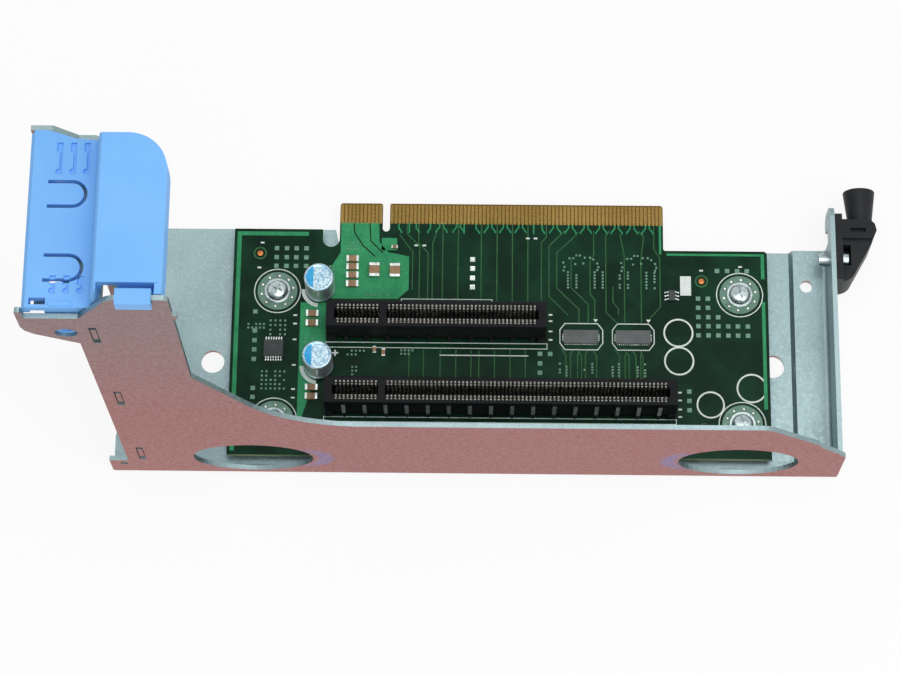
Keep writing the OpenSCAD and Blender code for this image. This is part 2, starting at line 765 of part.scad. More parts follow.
module latch() {
    low_in = cover_low_z - latch_wall;
    color([0.45, 0.66, 0.93])
        difference() {
            union() {
                latch_shell();
                latch_ear(latch_y0, latch_y0 + latch_ear_t);
                latch_ear(latch_y1 - latch_ear_t, latch_y1);
                pivot_cylinder(pivot_r, flange_out + boss_recess, latch_y0 + eps);
                pivot_cylinder(pivot_r, latch_y1 - eps, wall_y1 - boss_recess);
                pivot_cylinder(shoulder_r, latch_y1 - eps, ear_in - latch_clear);
                side_plate(tongue_x0, tongue_x0 + tongue_w)
                    clip_section();
                // Pads under the ends of the spring fingers
                for (y = finger_slot_y)
                    box(wall_out - 2.2, wall_out - 1.6, y - 1.4, y + 1.4, low_in - 1, low_in + eps);
                // Raised bar beside the window
                box(low_x0 + 6, low_x0 + 11, latch_y0 + 0.3, latch_y0 + 1.3,
                    cover_low_z - eps, cover_low_z + 0.4);
                // Stiffening ribs across the raised cover
                for (i = [1:2])
                    box(step_x1 + eps, high_x1 - eps - latch_wall / 2, high_y0 + 10.5 * i,
                        high_y0 + 10.5 * i + 1, cover_high_z - latch_wall - 1.6,
                        cover_high_z - latch_wall + eps);
            }
            for (y = finger_slot_y)
                flat_plate(low_in - 2, cover_low_z + 1)
                    finger_slot(y);
            for (i = [0:2], k = [0:1])
                flat_plate(cover_low_z - groove_depth, cover_low_z + 1)
                    translate([mark_x - mark_pitch * i, mark_y[k]])
                        cover_mark(mark_l[k]);
            // Window in the low cover
            box(low_x0 + 1.6, low_x0 + 5.2, latch_y0 + 0.7, latch_y0 + 2.2, low_in - 3, cover_low_z + 1);
            pivot_cylinder(boss_bore_r, flange_out, flange_in + 0.6);
            pivot_cylinder(boss_bore_r, ear_in - 0.6, wall_y1);
        }
}

// ---- Board ----

module board_outline() {
    notch_x0 = tab_x0 - notch_w;
    shoulder_x = tab_x1 + 0.4;
    polygon(concat(
        [[board_x0, board_y0], [board_x1, board_y0], [board_x1, board_y_right - 0.6],
         [board_x1 - 0.6, board_y_right], [shoulder_x, board_y_right],
         [tab_x1, board_y_right + 0.4],
         [tab_x1, tab_y - tab_chamfer], [tab_x1 - tab_chamfer, tab_y],
         [key_x + key_w / 2 + 0.3, tab_y], [key_x + key_w / 2, tab_y - 0.4]],
        arc(key_x, tab_y - key_depth + key_w / 2, key_w / 2, 0, -180, 8),
        [[key_x - key_w / 2, tab_y - 0.4], [key_x - key_w / 2 - 0.3, tab_y],
         [tab_x0 + tab_chamfer, tab_y], [tab_x0, tab_y - tab_chamfer]],
        arc(tab_x0 - notch_w / 2, board_y_right + 0.3 + notch_w / 2, notch_w / 2, 0, -180, 10),
        [[notch_x0, board_y_left], [board_x0, board_y_left]]));
}

module circuit_board() {
    color([0.05, 0.3, 0.16])
        difference() {
            flat_plate(board_z, board_top)
                board_outline();
            for (x = [-1, 1], y = [-1, 1])
                translate([x * screw_x, y * screw_y, board_z - 1])
                    cylinder(r = screw_hole_r, h = board_t + 2, $fn = 32);
            translate([tooling_hole[0], tooling_hole[1], board_z - 1])
                cylinder(r = tooling_hole_r, h = board_t + 2, $fn = 32);
        }
}

module standoffs() {
    color([0.75, 0.76, 0.74])
        for (x = [-1, 1], y = [-1, 1])
            translate([x * screw_x, y * screw_y, 0])
                difference() {
                    union() {
                        translate([0, 0, sheet_t])
                            cylinder(r = 2.9, h = standoff_h, $fn = 32);
                        translate([0, 0, 0.1])
                            cylinder(r = screw_r + 0.7, h = sheet_t, $fn = 32);
                    }
                    translate([0, 0, -1])
                        cylinder(r = screw_r + fit, h = board_top, $fn = 32);
                }
}

module board_screws() {
    head_h = 1.9;
    color([0.82, 0.84, 0.86])
        for (x = [-1, 1], y = [-1, 1])
            translate([x * screw_x, y * screw_y, 0])
                difference() {
                    union() {
                        translate([0, 0, 0.2])
                            cylinder(r = screw_r, h = board_top, $fn = 32);
                        translate([0, 0, board_top])
                            rotate_extrude($fn = 48)
                                polygon(concat([[0, 0], [screw_head_r, 0]],
                                    arc(screw_head_r - 1.1, 0.6, 1.1, 15, 80, 5),
                                    [[0, head_h]]));
                    }
                    for (turn = [0, 90])
                        translate([0, 0, board_top + head_h - 0.4])
                            rotate([0, 0, turn + 20 * x])
                                cube([2.8, 0.6, 1.6], center = true);
                }
}

module edge_fingers() {
    color([0.85, 0.68, 0.3])
        for (px = contact_x(contacts_long), side = [0, 1])
            translate([px - finger_pad_w / 2, tab_y - 0.4 - finger_pad_l,
                       side == 0 ? board_z - finger_pad_t : board_top])
                cube([finger_pad_w, finger_pad_l, finger_pad_t]);
}

// ---- Card slots ----

// Housing of a card slot: body on an undercut foot, with upright ribs along its side walls
module slot_housing(y, after, rib_top) {
    x1 = slot_x1(after);
    body_y = slot_body_w / 2;
    rim_y = slot_rim_w / 2;
    ribs = floor((x1 - slot_x0 - rib_start - slot_end_t) / rib_pitch) + 1;
    translate([0, y, board_top])
        difference() {
            union() {
                side_plate(slot_x0, x1)
                    polygon([
                        [-body_y, undercut_h], [-slot_core_w / 2, undercut_h - 0.2], [-slot_core_w / 2, 0],
                        [slot_core_w / 2, 0], [slot_core_w / 2, undercut_h - 0.2], [body_y, undercut_h],
                        [body_y, slot_h - 0.9], [rim_y, slot_h - 0.7], [rim_y, slot_h - 0.2],
                        [rim_y - 0.2, slot_h], [-rim_y + 0.2, slot_h], [-rim_y, slot_h - 0.2],
                        [-rim_y, slot_h - 0.7], [-body_y, slot_h - 0.9]]);
                for (x = [slot_x0, x1 - slot_end_t])
                    box(x, x + slot_end_t, -slot_w / 2, slot_w / 2, 0, undercut_h + 0.6);
                for (i = [0:ribs - 1], side = [-1, 1])
                    translate([slot_x0 + rib_start + i * rib_pitch, side * (body_y - 0.1), 0])
                        cylinder(r = rib_w / 2, h = rib_top, $fn = 24);
            }
            // Card gap on both sides of the key, with a lead-in
            for (span = [[slot_x0 + slot_end_t, key_x - key_rib / 2], [key_x + key_rib / 2, x1 - slot_end_t]])
                side_plate(span[0], span[1])
                    polygon([
                        [-card_gap / 2, slot_h - card_gap_depth], [card_gap / 2, slot_h - card_gap_depth],
                        [card_gap / 2, slot_h - 0.5], [card_gap / 2 + 0.4, slot_h + eps],
                        [-card_gap / 2 - 0.4, slot_h + eps], [-card_gap / 2, slot_h - 0.5]]);
            // Contact pockets beside the card gap
            for (px = contact_x(after), side = [-1, 1])
                translate([px - pocket_w / 2, side * card_gap / 2 + (side < 0 ? -pocket_depth : 0),
                           slot_h - card_gap_depth + 0.4])
                    cube([pocket_w, pocket_depth, card_gap_depth]);
        }
}

// Forked contact: a straight leg at the pocket's outer wall and a sprung leg that bulges into the gap
module slot_contacts(y, after) {
    tip = slot_h - 0.7;
    foot = slot_h - card_gap_depth + 0.45;
    gap_y = card_gap / 2;
    out_y = gap_y + pocket_depth - fit;
    for (px = contact_x(after), side = [-1, 1])
        translate([px - contact_w / 2, y, board_top])
            rotate([90, 0, 90])
                linear_extrude(contact_w)
                    polygon([for (p = [
                        [gap_y + 0.2, foot], [out_y, foot], [out_y, tip], [out_y - contact_t, tip],
                        [out_y - contact_t, foot + 0.6], [gap_y + 0.55, foot + 0.6],
                        [gap_y + 0.1, foot + 4.2], [gap_y + 0.75, tip - 0.2], [gap_y + 0.45, tip],
                        [gap_y - 0.2, foot + 4.3]])
                        [side * p[0], p[1]]]);
}

module long_slot_housing() {
    color([0.06, 0.06, 0.07])
        slot_housing(long_slot_y, contacts_long, slot_h - 0.8);
}

module short_slot_housing() {
    color([0.06, 0.06, 0.07])
        slot_housing(short_slot_y, contacts_short, undercut_h + 0.4);
}

module long_slot_contacts() {
    color([0.8, 0.76, 0.66])
        slot_contacts(long_slot_y, contacts_long);
}

module short_slot_contacts() {
    color([0.8, 0.76, 0.66])
        slot_contacts(short_slot_y, contacts_short);
}

// ---- Parts on the board ----

module round_capacitors() {
    color([0.78, 0.8, 0.84])
        for (at = can_at)
            translate([at[0], at[1], board_top + seal_h])
                rotate_extrude($fn = 64)
                    polygon(concat(
                        [[0, 0], [can_r - 0.3, 0], [can_r, 0.3], [can_r, can_groove_z - 0.5],
                         [can_r - can_groove_d, can_groove_z], [can_r, can_groove_z + 0.5]],
                        arc(can_r - 0.5, can_h - seal_h - 0.5, 0.5, 0, 90, 4),
                        [[can_r - 0.9, can_h - seal_h - 0.12], [0, can_h - seal_h - 0.12]]));
}

module capacitor_seals() {
    color([0.1, 0.1, 0.1])
        for (at = can_at)
            translate([at[0], at[1], board_top])
                cylinder(r = can_r - 0.5, h = seal_h, $fn = 48);
}

module switch_chips() {
    color([0.3, 0.3, 0.31])
        for (at = switch_at)
            translate([at[0], at[1], board_top + switch_size[2] / 2 + body_drop])
                cube([switch_size[0], switch_size[1], switch_size[2]], center = true);
}

module switch_chip_terminals() {
    count = 17;
    color([0.8, 0.8, 0.78])
        for (at = switch_at) {
            for (i = [0:count - 1], side = [-1, 1])
                translate([at[0] + (i - (count - 1) / 2) * 0.5, at[1] + side * switch_size[1] / 2,
                           board_top + body_drop / 2])
                    cube([0.24, 0.5, body_drop], center = true);
            for (i = [-1.5:1:1.5], side = [-1, 1])
                translate([at[0] + side * switch_size[0] / 2, at[1] + i * 0.5, board_top + body_drop / 2])
                    cube([0.5, 0.24, body_drop], center = true);
        }
}

// Moulded body with sloping sides
module chip_body(size) {
    slope = 0.15;
    front_plate(-size[1] / 2, size[1] / 2)
        polygon([
            [-size[0] / 2, size[2] / 2], [-size[0] / 2 + slope, 0], [size[0] / 2 - slope, 0],
            [size[0] / 2, size[2] / 2], [size[0] / 2 - slope, size[2]], [-size[0] / 2 + slope, size[2]]]);
}

// Gull-wing lead in Y and Z, leaving the body at y0
module lead_section(y0, body_h) {
    mid = body_drop + body_h / 2;
    polygon([
        [y0, mid - lead_t / 2], [y0 + lead_reach * 0.3, mid - lead_t / 2], [y0 + lead_reach * 0.5, 0],
        [y0 + lead_reach, 0], [y0 + lead_reach, lead_t], [y0 + lead_reach * 0.6, lead_t],
        [y0 + lead_reach * 0.4, mid + lead_t / 2], [y0, mid + lead_t / 2]]);
}

module logic_chip() {
    color([0.2, 0.2, 0.21])
        translate([logic_at[0], logic_at[1], board_top + body_drop])
            chip_body(logic_size);
}

module logic_chip_leads() {
    color([0.8, 0.8, 0.78])
        for (i = [0:lead_count - 1], side = [0, 1])
            translate([logic_at[0] + (i - (lead_count - 1) / 2) * lead_pitch, logic_at[1], board_top])
                mirror([0, side, 0])
                    side_plate(-lead_w / 2, lead_w / 2)
                        lead_section(logic_size[1] / 2, logic_size[2]);
}

module timer_chip() {
    color([0.2, 0.2, 0.21])
        translate([timer_at[0], timer_at[1], board_top + body_drop])
            rotate([0, 0, 90])
                chip_body([timer_size[1], timer_size[0], timer_size[2]]);
}

module timer_chip_leads() {
    color([0.8, 0.8, 0.78])
        for (i = [-1:1], side = [0, 180])
            translate([timer_at[0], timer_at[1], board_top])
                rotate([0, 0, side + 90])
                    translate([i * timer_pitch, 0, 0])
                        side_plate(-lead_w / 2, lead_w / 2)
                            lead_section(timer_size[0] / 2, timer_size[2]);
}

module chip_capacitors() {
    color([0.6, 0.5, 0.4])
        for (cap = chip_caps)
            translate([cap[0], cap[1], board_top + cap[4] / 2])
                cube([cap[2], cap[3], cap[4]], center = true);
}

// ---- Guide ----

module guide_plan() {
    polygon(concat(
        [[guide_x0, guide_y0], [guide_x0 + 1.4, guide_y0]],
        arc(guide_x0 + 1.4, guide_y0 + 4, 4, 280, 325, 5),
        [[guide_x0 + guide_w - 1.2, guide_y0 + 10.6],
         [guide_x0 + guide_w - 1, guide_block_y0]],
        [[guide_x0 + guide_w, guide_y1 - 3], [guide_x0 + guide_w - 0.4, guide_y1 - 1.2],
         [guide_x0 + guide_w - 1.6, guide_y1], [guide_x0, guide_y1]]));
}

module guide_block() {
    color([0.08, 0.08, 0.09])
        difference() {
            union() {
                flat_plate(guide_z0, guide_z1)
                    guide_plan();
                // Back plate against the end wall, with a hooked top corner
                box(guide_x0, guide_x0 + guide_back_t, guide_y0, guide_y1 + 1.2, guide_z0, guide_z1 + 0.8);
                translate([funnel_x, guide_y1, funnel_z])
                    rotate([-90, 0, 0])
                        cylinder(r1 = funnel_foot_r, r2 = funnel_mouth_r, h = funnel_length, $fn = 48);
            }
            // Bore for the guide pin, flared at its mouth
            translate([funnel_x, guide_bore_y0, funnel_z])
                rotate([-90, 0, 0])
                    cylinder(r = guide_bore_r, h = guide_y1 + funnel_length - guide_bore_y0 + 1, $fn = 48);
            translate([funnel_x, guide_y1 + funnel_length - guide_flare, funnel_z])
                rotate([-90, 0, 0])
                    cylinder(r1 = guide_bore_r, r2 = funnel_mouth_r - mouth_flare + 0.5, h = guide_flare + eps, $fn = 48);
            // Pocket round the head of the fixing screw
            box(guide_x0 + guide_back_t, guide_x0 + guide_back_t + guide_pocket_d, guide_screw_y - guide_pocket / 2,
                guide_screw_y + guide_pocket / 2, guide_screw_z - guide_pocket / 2, guide_z1 + 2);
            translate([guide_x0 - 1, guide_screw_y, guide_screw_z])
                rotate([0, 90, 0])
                    cylinder(r = guide_screw_r + fit, h = guide_back_t + 2, $fn = 32);
            // Slot in the block's top
            box(guide_x0 + guide_slot[0], guide_x0 + guide_slot[1], guide_slot_y, guide_slot_y + guide_slot_w,
                guide_z1 - 1.2, guide_z1 + 2);
            // Lower top face of the body in front of the block
            flat_plate(guide_z1 - 1, guide_z1 + 2)
                polygon([
                    [guide_x0 + guide_back_t + eps, guide_y0 - 1], [guide_x0 + guide_w + 1, guide_y0 - 1],
                    [guide_x0 + guide_w + 1, guide_block_y0], [guide_x0 + guide_back_t + eps, guide_block_y0]]);
        }
}

module guide_screw() {
    color([0.8, 0.82, 0.84])
        difference() {
            union() {
                translate([end_in - 2.6, guide_screw_y, guide_screw_z])
                    rotate([0, 90, 0])
                        cylinder(r = guide_screw_r, h = 2.6 + sheet_t + guide_back_t + eps, $fn = 32);
                translate([guide_x0 + guide_back_t, guide_screw_y, guide_screw_z])
                    rotate([0, 90, 0])
                        cylinder(r = guide_head_r, h = guide_head_h, $fn = 32);
            }
            for (turn = [0, 90])
                translate([guide_x0 + guide_back_t + guide_head_h, guide_screw_y, guide_screw_z])
                    rotate([turn, 0, 0])
                        cube([1.6, 2.8, 0.6], center = true);
        }
}

cage();
slot_wall();
wall_rivets();
latch();
circuit_board();
standoffs();
board_screws();
edge_fingers();
long_slot_housing();
long_slot_contacts();
short_slot_housing();
short_slot_contacts();
round_capacitors();
capacitor_seals();
switch_chips();
switch_chip_terminals();
logic_chip();
logic_chip_leads();
timer_chip();
timer_chip_leads();
chip_capacitors();
guide_block();
guide_screw();
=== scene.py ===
import math
import random

import bpy
from mathutils import Matrix, Vector


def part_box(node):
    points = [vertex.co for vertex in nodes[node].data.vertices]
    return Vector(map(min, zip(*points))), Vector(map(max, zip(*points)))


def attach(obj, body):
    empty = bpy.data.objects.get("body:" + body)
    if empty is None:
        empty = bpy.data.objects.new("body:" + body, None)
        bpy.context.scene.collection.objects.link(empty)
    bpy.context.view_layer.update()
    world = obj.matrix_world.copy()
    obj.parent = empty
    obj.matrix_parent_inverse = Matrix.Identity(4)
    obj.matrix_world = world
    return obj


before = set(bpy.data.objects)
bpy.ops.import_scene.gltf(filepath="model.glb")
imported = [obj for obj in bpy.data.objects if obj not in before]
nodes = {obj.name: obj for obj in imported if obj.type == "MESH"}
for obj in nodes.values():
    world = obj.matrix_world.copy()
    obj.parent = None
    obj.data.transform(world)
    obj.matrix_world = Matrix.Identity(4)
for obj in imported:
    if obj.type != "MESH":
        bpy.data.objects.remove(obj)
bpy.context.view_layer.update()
print("frame loaded:", len(nodes), "nodes")

# The board's places in mm, as in the part's source
board = {"top": 5.0, "left": -71.3, "right": 67.0, "near": -26.6, "farLeft": 34.65, "farRight": 29.5,
         "tabRight": 40.15, "maskEnd": 36.9, "sink": 0.01, "keyX": -31.9,
         "screws": [(-59.7, 17.5), (59.7, 17.5), (-59.7, -17.5), (59.7, -17.5)],
         "cans": [(-48.6, 18.0), (-48.5, -2.9)]}


def mm(value):
    return value / 1000


def hexColor(code):
    # sRGB hex to the linear values that Blender's sockets take
    parts = [int(code[i:i + 2], 16) / 255 for i in (1, 3, 5)]
    return tuple(p / 12.92 if p <= 0.04045 else ((p + 0.055) / 1.055) ** 2.4 for p in parts) + (1.0,)


def addNode(tree, kind, inputs=None, **settings):
    node = tree.nodes.new(kind)
    for key, value in settings.items():
        setattr(node, key, value)
    for key, value in (inputs or {}).items():
        if isinstance(value, bpy.types.NodeSocket):
            tree.links.new(value, node.inputs[key])
        else:
            node.inputs[key].default_value = value
    return node


def startMaterial(name, metallic, roughness, **sockets):
    material = bpy.data.materials.new(name)
    material.use_nodes = True
    tree = material.node_tree
    shader = tree.nodes["Principled BSDF"]
    shader.inputs["Metallic"].default_value = metallic
    shader.inputs["Roughness"].default_value = roughness
    for key, value in sockets.items():
        shader.inputs[key.replace("_", " ")].default_value = value
    place = addNode(tree, "ShaderNodeTexCoord")
    return material, tree, shader, place


def perMetre(size):
    # Texture scale for a grain of that size in mm
    return 1000 / size


def dress(piece, material):
    piece.data.materials.clear()
    piece.data.materials.append(material)


grainNoise = {"detail": 3.0, "roughness": 0.6, "patchDetail": 2.0, "toneFrom": 0.7, "toneTo": 1.3,
              "glossFrom": 0.3, "glossTo": 0.7, "bumpShare": 0.2, "usualSpecular": 0.5}


def grainMaterial(name, look):
    # One colour broken up by two sizes of noise, with a fine bump: the base of most finishes here
    noise = grainNoise
    material, tree, shader, place = startMaterial(
        name, look["metallic"], look["roughness"],
        Specular_IOR_Level=look.get("specular", noise["usualSpecular"]))
    where = place.outputs["Object"]
    fine = addNode(tree, "ShaderNodeTexNoise", {"Vector": where, "Scale": perMetre(look["grain"]),
                                                "Detail": noise["detail"], "Roughness": noise["roughness"]})
    broad = addNode(tree, "ShaderNodeTexNoise", {"Vector": where, "Scale": perMetre(look["patch"]),
                                                 "Detail": noise["patchDetail"]})
    blend = addNode(tree, "ShaderNodeMath", {0: fine.outputs["Fac"], 1: broad.outputs["Fac"]}, operation="ADD")
    spread = addNode(tree, "ShaderNodeMapRange", {"Value": blend.outputs[0], "From Min": noise["toneFrom"],
                                                  "From Max": noise["toneTo"]})
    tone = addNode(tree, "ShaderNodeMix", {"Factor": spread.outputs[0], "A": hexColor(look["dark"]),
                                           "B": hexColor(look["light"])}, data_type="RGBA")
    gloss = addNode(tree, "ShaderNodeMapRange", {"Value": fine.outputs["Fac"], "From Min": noise["glossFrom"],
                                                 "From Max": noise["glossTo"],
                                                 "To Min": look["roughness"] - look["glossSpread"],
                                                 "To Max": look["roughness"] + look["glossSpread"]})
    bump = addNode(tree, "ShaderNodeBump", {"Height": fine.outputs["Fac"], "Strength": look["bump"],
                                            "Distance": mm(look["grain"]) * noise["bumpShare"]})
    tree.links.new(tone.outputs["Result"], shader.inputs["Base Color"])
    tree.links.new(gloss.outputs[0], shader.inputs["Roughness"])
    tree.links.new(bump.outputs[0], shader.inputs["Normal"])
    return material


# Zinc-plated steel sheet: cool pale grey with a sandy sparkle; the upright faces turned to the
# front carry a painted pink reflection and the two blue tint marks beside the finger holes
zincLook = {"pale": "#91A6A9", "cool": "#85999C", "sparkle": "#AFBFC1", "reflectionLow": "#A26561", "reflectionHigh": "#8F7372",
            "tint": "#8478A4", "grain": 0.5, "flake": 1.1, "cloud": 26, "roughness": 0.42, "reflectionFrom": 50,
            "reflectionTo": 118, "tintHeight": 14.6, "leftTint": -50.6, "rightTint": 45.0, "tintOuter": 7.6,
            "tintInner": 7.0, "tintShift": 3.6, "tintSoftOut": 1.3, "tintSoftIn": 0.8,
            "tintStrength": 0.75, "sandDetail": 4.0, "sandRoughness": 0.7, "cloudDetail": 3.0,
            "cloudSpan": (0.35, 0.65), "speckSpan": (0.52, 0.68), "speckMost": 0.55, "faceSpan": (-0.55, -0.93),
            "rollStretch": (0.7, 1.0, 1.0), "roll": 1.3, "wearSpan": (0.35, 0.7), "wearMost": 0.08,
            "flakeReach": 0.8, "glossLess": 0.1, "glossMore": 0.08, "bump": 0.25, "bumpHeight": 0.1}


def zincSheet():
    look = zincLook
    material, tree, shader, place = startMaterial("zinc-plated steel", 1.0, look["roughness"])
    where = place.outputs["Object"]
    sand = addNode(tree, "ShaderNodeTexNoise", {"Vector": where, "Scale": perMetre(look["grain"]),
                                                "Detail": look["sandDetail"], "Roughness": look["sandRoughness"]})
    flake = addNode(tree, "ShaderNodeTexVoronoi", {"Vector": where, "Scale": perMetre(look["flake"])})
    cloud = addNode(tree, "ShaderNodeTexNoise", {"Vector": where, "Scale": perMetre(look["cloud"]),
                                                 "Detail": look["cloudDetail"]})
    shift = addNode(tree, "ShaderNodeMapRange", {"Value": cloud.outputs["Fac"], "From Min": look["cloudSpan"][0],
                                                 "From Max": look["cloudSpan"][1]})
    cool = addNode(tree, "ShaderNodeMix", {"Factor": shift.outputs[0], "A": hexColor(look["cool"]),
                                           "B": hexColor(look["pale"])}, data_type="RGBA")
    speck = addNode(tree, "ShaderNodeMapRange", {"Value": sand.outputs["Fac"], "From Min": look["speckSpan"][0],
                                                 "From Max": look["speckSpan"][1], "To Max": look["speckMost"]})
    plain = addNode(tree, "ShaderNodeMix", {"Factor": speck.outputs[0], "A": cool.outputs["Result"],
                                            "B": hexColor(look["sparkle"])}, data_type="RGBA")
    # Painted pink reflection: full on faces turned to the front, weaker up the arm
    axes = addNode(tree, "ShaderNodeSeparateXYZ", {0: where})
    turned = addNode(tree, "ShaderNodeSeparateXYZ", {0: place.outputs["Normal"]})
    facing = addNode(tree, "ShaderNodeMapRange", {"Value": turned.outputs["Y"], "From Min": look["faceSpan"][0],
                                                  "From Max": look["faceSpan"][1]}, interpolation_type="SMOOTHSTEP")
    climb = addNode(tree, "ShaderNodeMapRange", {"Value": axes.outputs["Z"], "From Min": mm(look["reflectionFrom"]),
                                                 "From Max": mm(look["reflectionTo"])})
    reflectionTone = addNode(tree, "ShaderNodeMix", {"Factor": climb.outputs[0], "A": hexColor(look["reflectionLow"]),
                                           "B": hexColor(look["reflectionHigh"])}, data_type="RGBA")
    streak = addNode(tree, "ShaderNodeMapping", {"Vector": where, "Scale": look["rollStretch"]})
    rolled = addNode(tree, "ShaderNodeTexNoise", {"Vector": streak.outputs[0], "Scale": perMetre(look["roll"]),
                                                  "Detail": look["sandDetail"]})
    wear = addNode(tree, "ShaderNodeMapRange", {"Value": rolled.outputs["Fac"], "From Min": look["wearSpan"][0],
                                                "From Max": look["wearSpan"][1], "To Max": look["wearMost"]})
    # The painted pink reflection, broken up by rolled streaks of plain metal
    paintedReflection = addNode(tree, "ShaderNodeMix", {"Factor": wear.outputs[0], "A": reflectionTone.outputs["Result"],
                                           "B": plain.outputs["Result"]}, data_type="RGBA")
    # Each tint mark is the part of a disc that a shifted disc leaves
    marks = []
    for centre, side in ((look["leftTint"], -1), (look["rightTint"], 1)):
        ends = []
        for radius, move in ((look["tintOuter"], 0), (look["tintInner"], side * look["tintShift"])):
            middle = (mm(centre + move), 0.0, mm(look["tintHeight"]))
            flat = addNode(tree, "ShaderNodeVectorMath", {0: where, 1: (1.0, 0.0, 1.0)}, operation="MULTIPLY")
            reach = addNode(tree, "ShaderNodeVectorMath", {0: flat.outputs[0], 1: middle}, operation="DISTANCE")
            ends.append((reach.outputs["Value"], mm(radius)))
        inside = addNode(tree, "ShaderNodeMapRange", {"Value": ends[0][0], "From Min": ends[0][1],
                                                      "From Max": ends[0][1] - mm(look["tintSoftOut"])})
        outside = addNode(tree, "ShaderNodeMapRange", {"Value": ends[1][0],
                                                       "From Min": ends[1][1] - mm(look["tintSoftIn"]),
                                                       "From Max": ends[1][1] + mm(look["tintSoftIn"])})
        marks.append(addNode(tree, "ShaderNodeMath", {0: inside.outputs[0], 1: outside.outputs[0]},
                             operation="MULTIPLY").outputs[0])
    both = addNode(tree, "ShaderNodeMath", {0: marks[0], 1: marks[1]}, operation="MAXIMUM")
    faint = addNode(tree, "ShaderNodeMath", {0: both.outputs[0], 1: look["tintStrength"]}, operation="MULTIPLY")
    tinted = addNode(tree, "ShaderNodeMix", {"Factor": faint.outputs[0], "A": paintedReflection.outputs["Result"],
                                             "B": hexColor(look["tint"])}, data_type="RGBA")
    colour = addNode(tree, "ShaderNodeMix", {"Factor": facing.outputs[0], "A": plain.outputs["Result"],
                                             "B": tinted.outputs["Result"]}, data_type="RGBA")
    gloss = addNode(tree, "ShaderNodeMapRange", {"Value": flake.outputs["Distance"], "From Max": look["flakeReach"],
                                                 "To Min": look["roughness"] - look["glossLess"],
                                                 "To Max": look["roughness"] + look["glossMore"]})
    bump = addNode(tree, "ShaderNodeBump", {"Height": sand.outputs["Fac"], "Strength": look["bump"],
                                            "Distance": mm(look["bumpHeight"])})
    tree.links.new(colour.outputs["Result"], shader.inputs["Base Color"])
    tree.links.new(gloss.outputs[0], shader.inputs["Roughness"])
    tree.links.new(bump.outputs[0], shader.inputs["Normal"])
    return material


# Solder mask over woven glass laminate: dark bottle green with a soft gloss; past the mask's end
# the bare laminate shows tan between the gold fingers
maskLook = {"deep": "#052417", "green": "#0C3522", "laminate": "#6F5226", "sawn": "#7C8A55", "roughness": 0.3,
            "specular": 0.1, "weave": 0.6, "patch": 9, "patchDetail": 3.0, "patchSpan": (0.38, 0.62),
            "weaveDetail": 2.0, "cutBelow": 0.5, "bump": 0.12, "bumpHeight": 0.1}


def boardLaminate():
    look = maskLook
    material, tree, shader, place = startMaterial("solder mask on glass laminate", 0.0, look["roughness"],
                                                  IOR=1.5, Specular_IOR_Level=look["specular"])
    where = place.outputs["Object"]
    patch = addNode(tree, "ShaderNodeTexNoise", {"Vector": where, "Scale": perMetre(look["patch"]),
                                                 "Detail": look["patchDetail"]})
    spread = addNode(tree, "ShaderNodeMapRange", {"Value": patch.outputs["Fac"], "From Min": look["patchSpan"][0],
                                                  "From Max": look["patchSpan"][1]})
    mask = addNode(tree, "ShaderNodeMix", {"Factor": spread.outputs[0], "A": hexColor(look["deep"]),
                                           "B": hexColor(look["green"])}, data_type="RGBA")
    axes = addNode(tree, "ShaderNodeSeparateXYZ", {0: where})
    turned = addNode(tree, "ShaderNodeSeparateXYZ", {0: place.outputs["Normal"]})
    bare = addNode(tree, "ShaderNodeMath", {0: axes.outputs["Y"], 1: mm(board["maskEnd"])}, operation="GREATER_THAN")
    face = addNode(tree, "ShaderNodeMix", {"Factor": bare.outputs[0], "A": mask.outputs["Result"],
                                           "B": hexColor(look["laminate"])}, data_type="RGBA")
    flatness = addNode(tree, "ShaderNodeMath", {0: turned.outputs["Z"]}, operation="ABSOLUTE")
    cut = addNode(tree, "ShaderNodeMath", {0: flatness.outputs[0], 1: look["cutBelow"]}, operation="LESS_THAN")
    colour = addNode(tree, "ShaderNodeMix", {"Factor": cut.outputs[0], "A": face.outputs["Result"],
                                             "B": hexColor(look["sawn"])}, data_type="RGBA")
    weave = addNode(tree, "ShaderNodeTexNoise", {"Vector": where, "Scale": perMetre(look["weave"]),
                                                 "Detail": look["weaveDetail"]})
    bump = addNode(tree, "ShaderNodeBump", {"Height": weave.outputs["Fac"], "Strength": look["bump"],
                                            "Distance": mm(look["bumpHeight"])})
    tree.links.new(colour.outputs["Result"], shader.inputs["Base Color"])
    tree.links.new(bump.outputs[0], shader.inputs["Normal"])
    return material


# Aluminium can top under a printed sleeve: pale speckled silver with a blue cast
canLook = {"dot": 0.55, "dark": "#7FA9C0", "light": "#CBDDE4", "side": "#C9D3D6", "roughness": 0.35,
           "metallic": 0.75, "detail": 2.0, "dotRoughness": 0.7, "speckSpan": (0.42, 0.6), "topSpan": (0.5, 0.9),
           "bump": 0.15, "bumpHeight": 0.1}


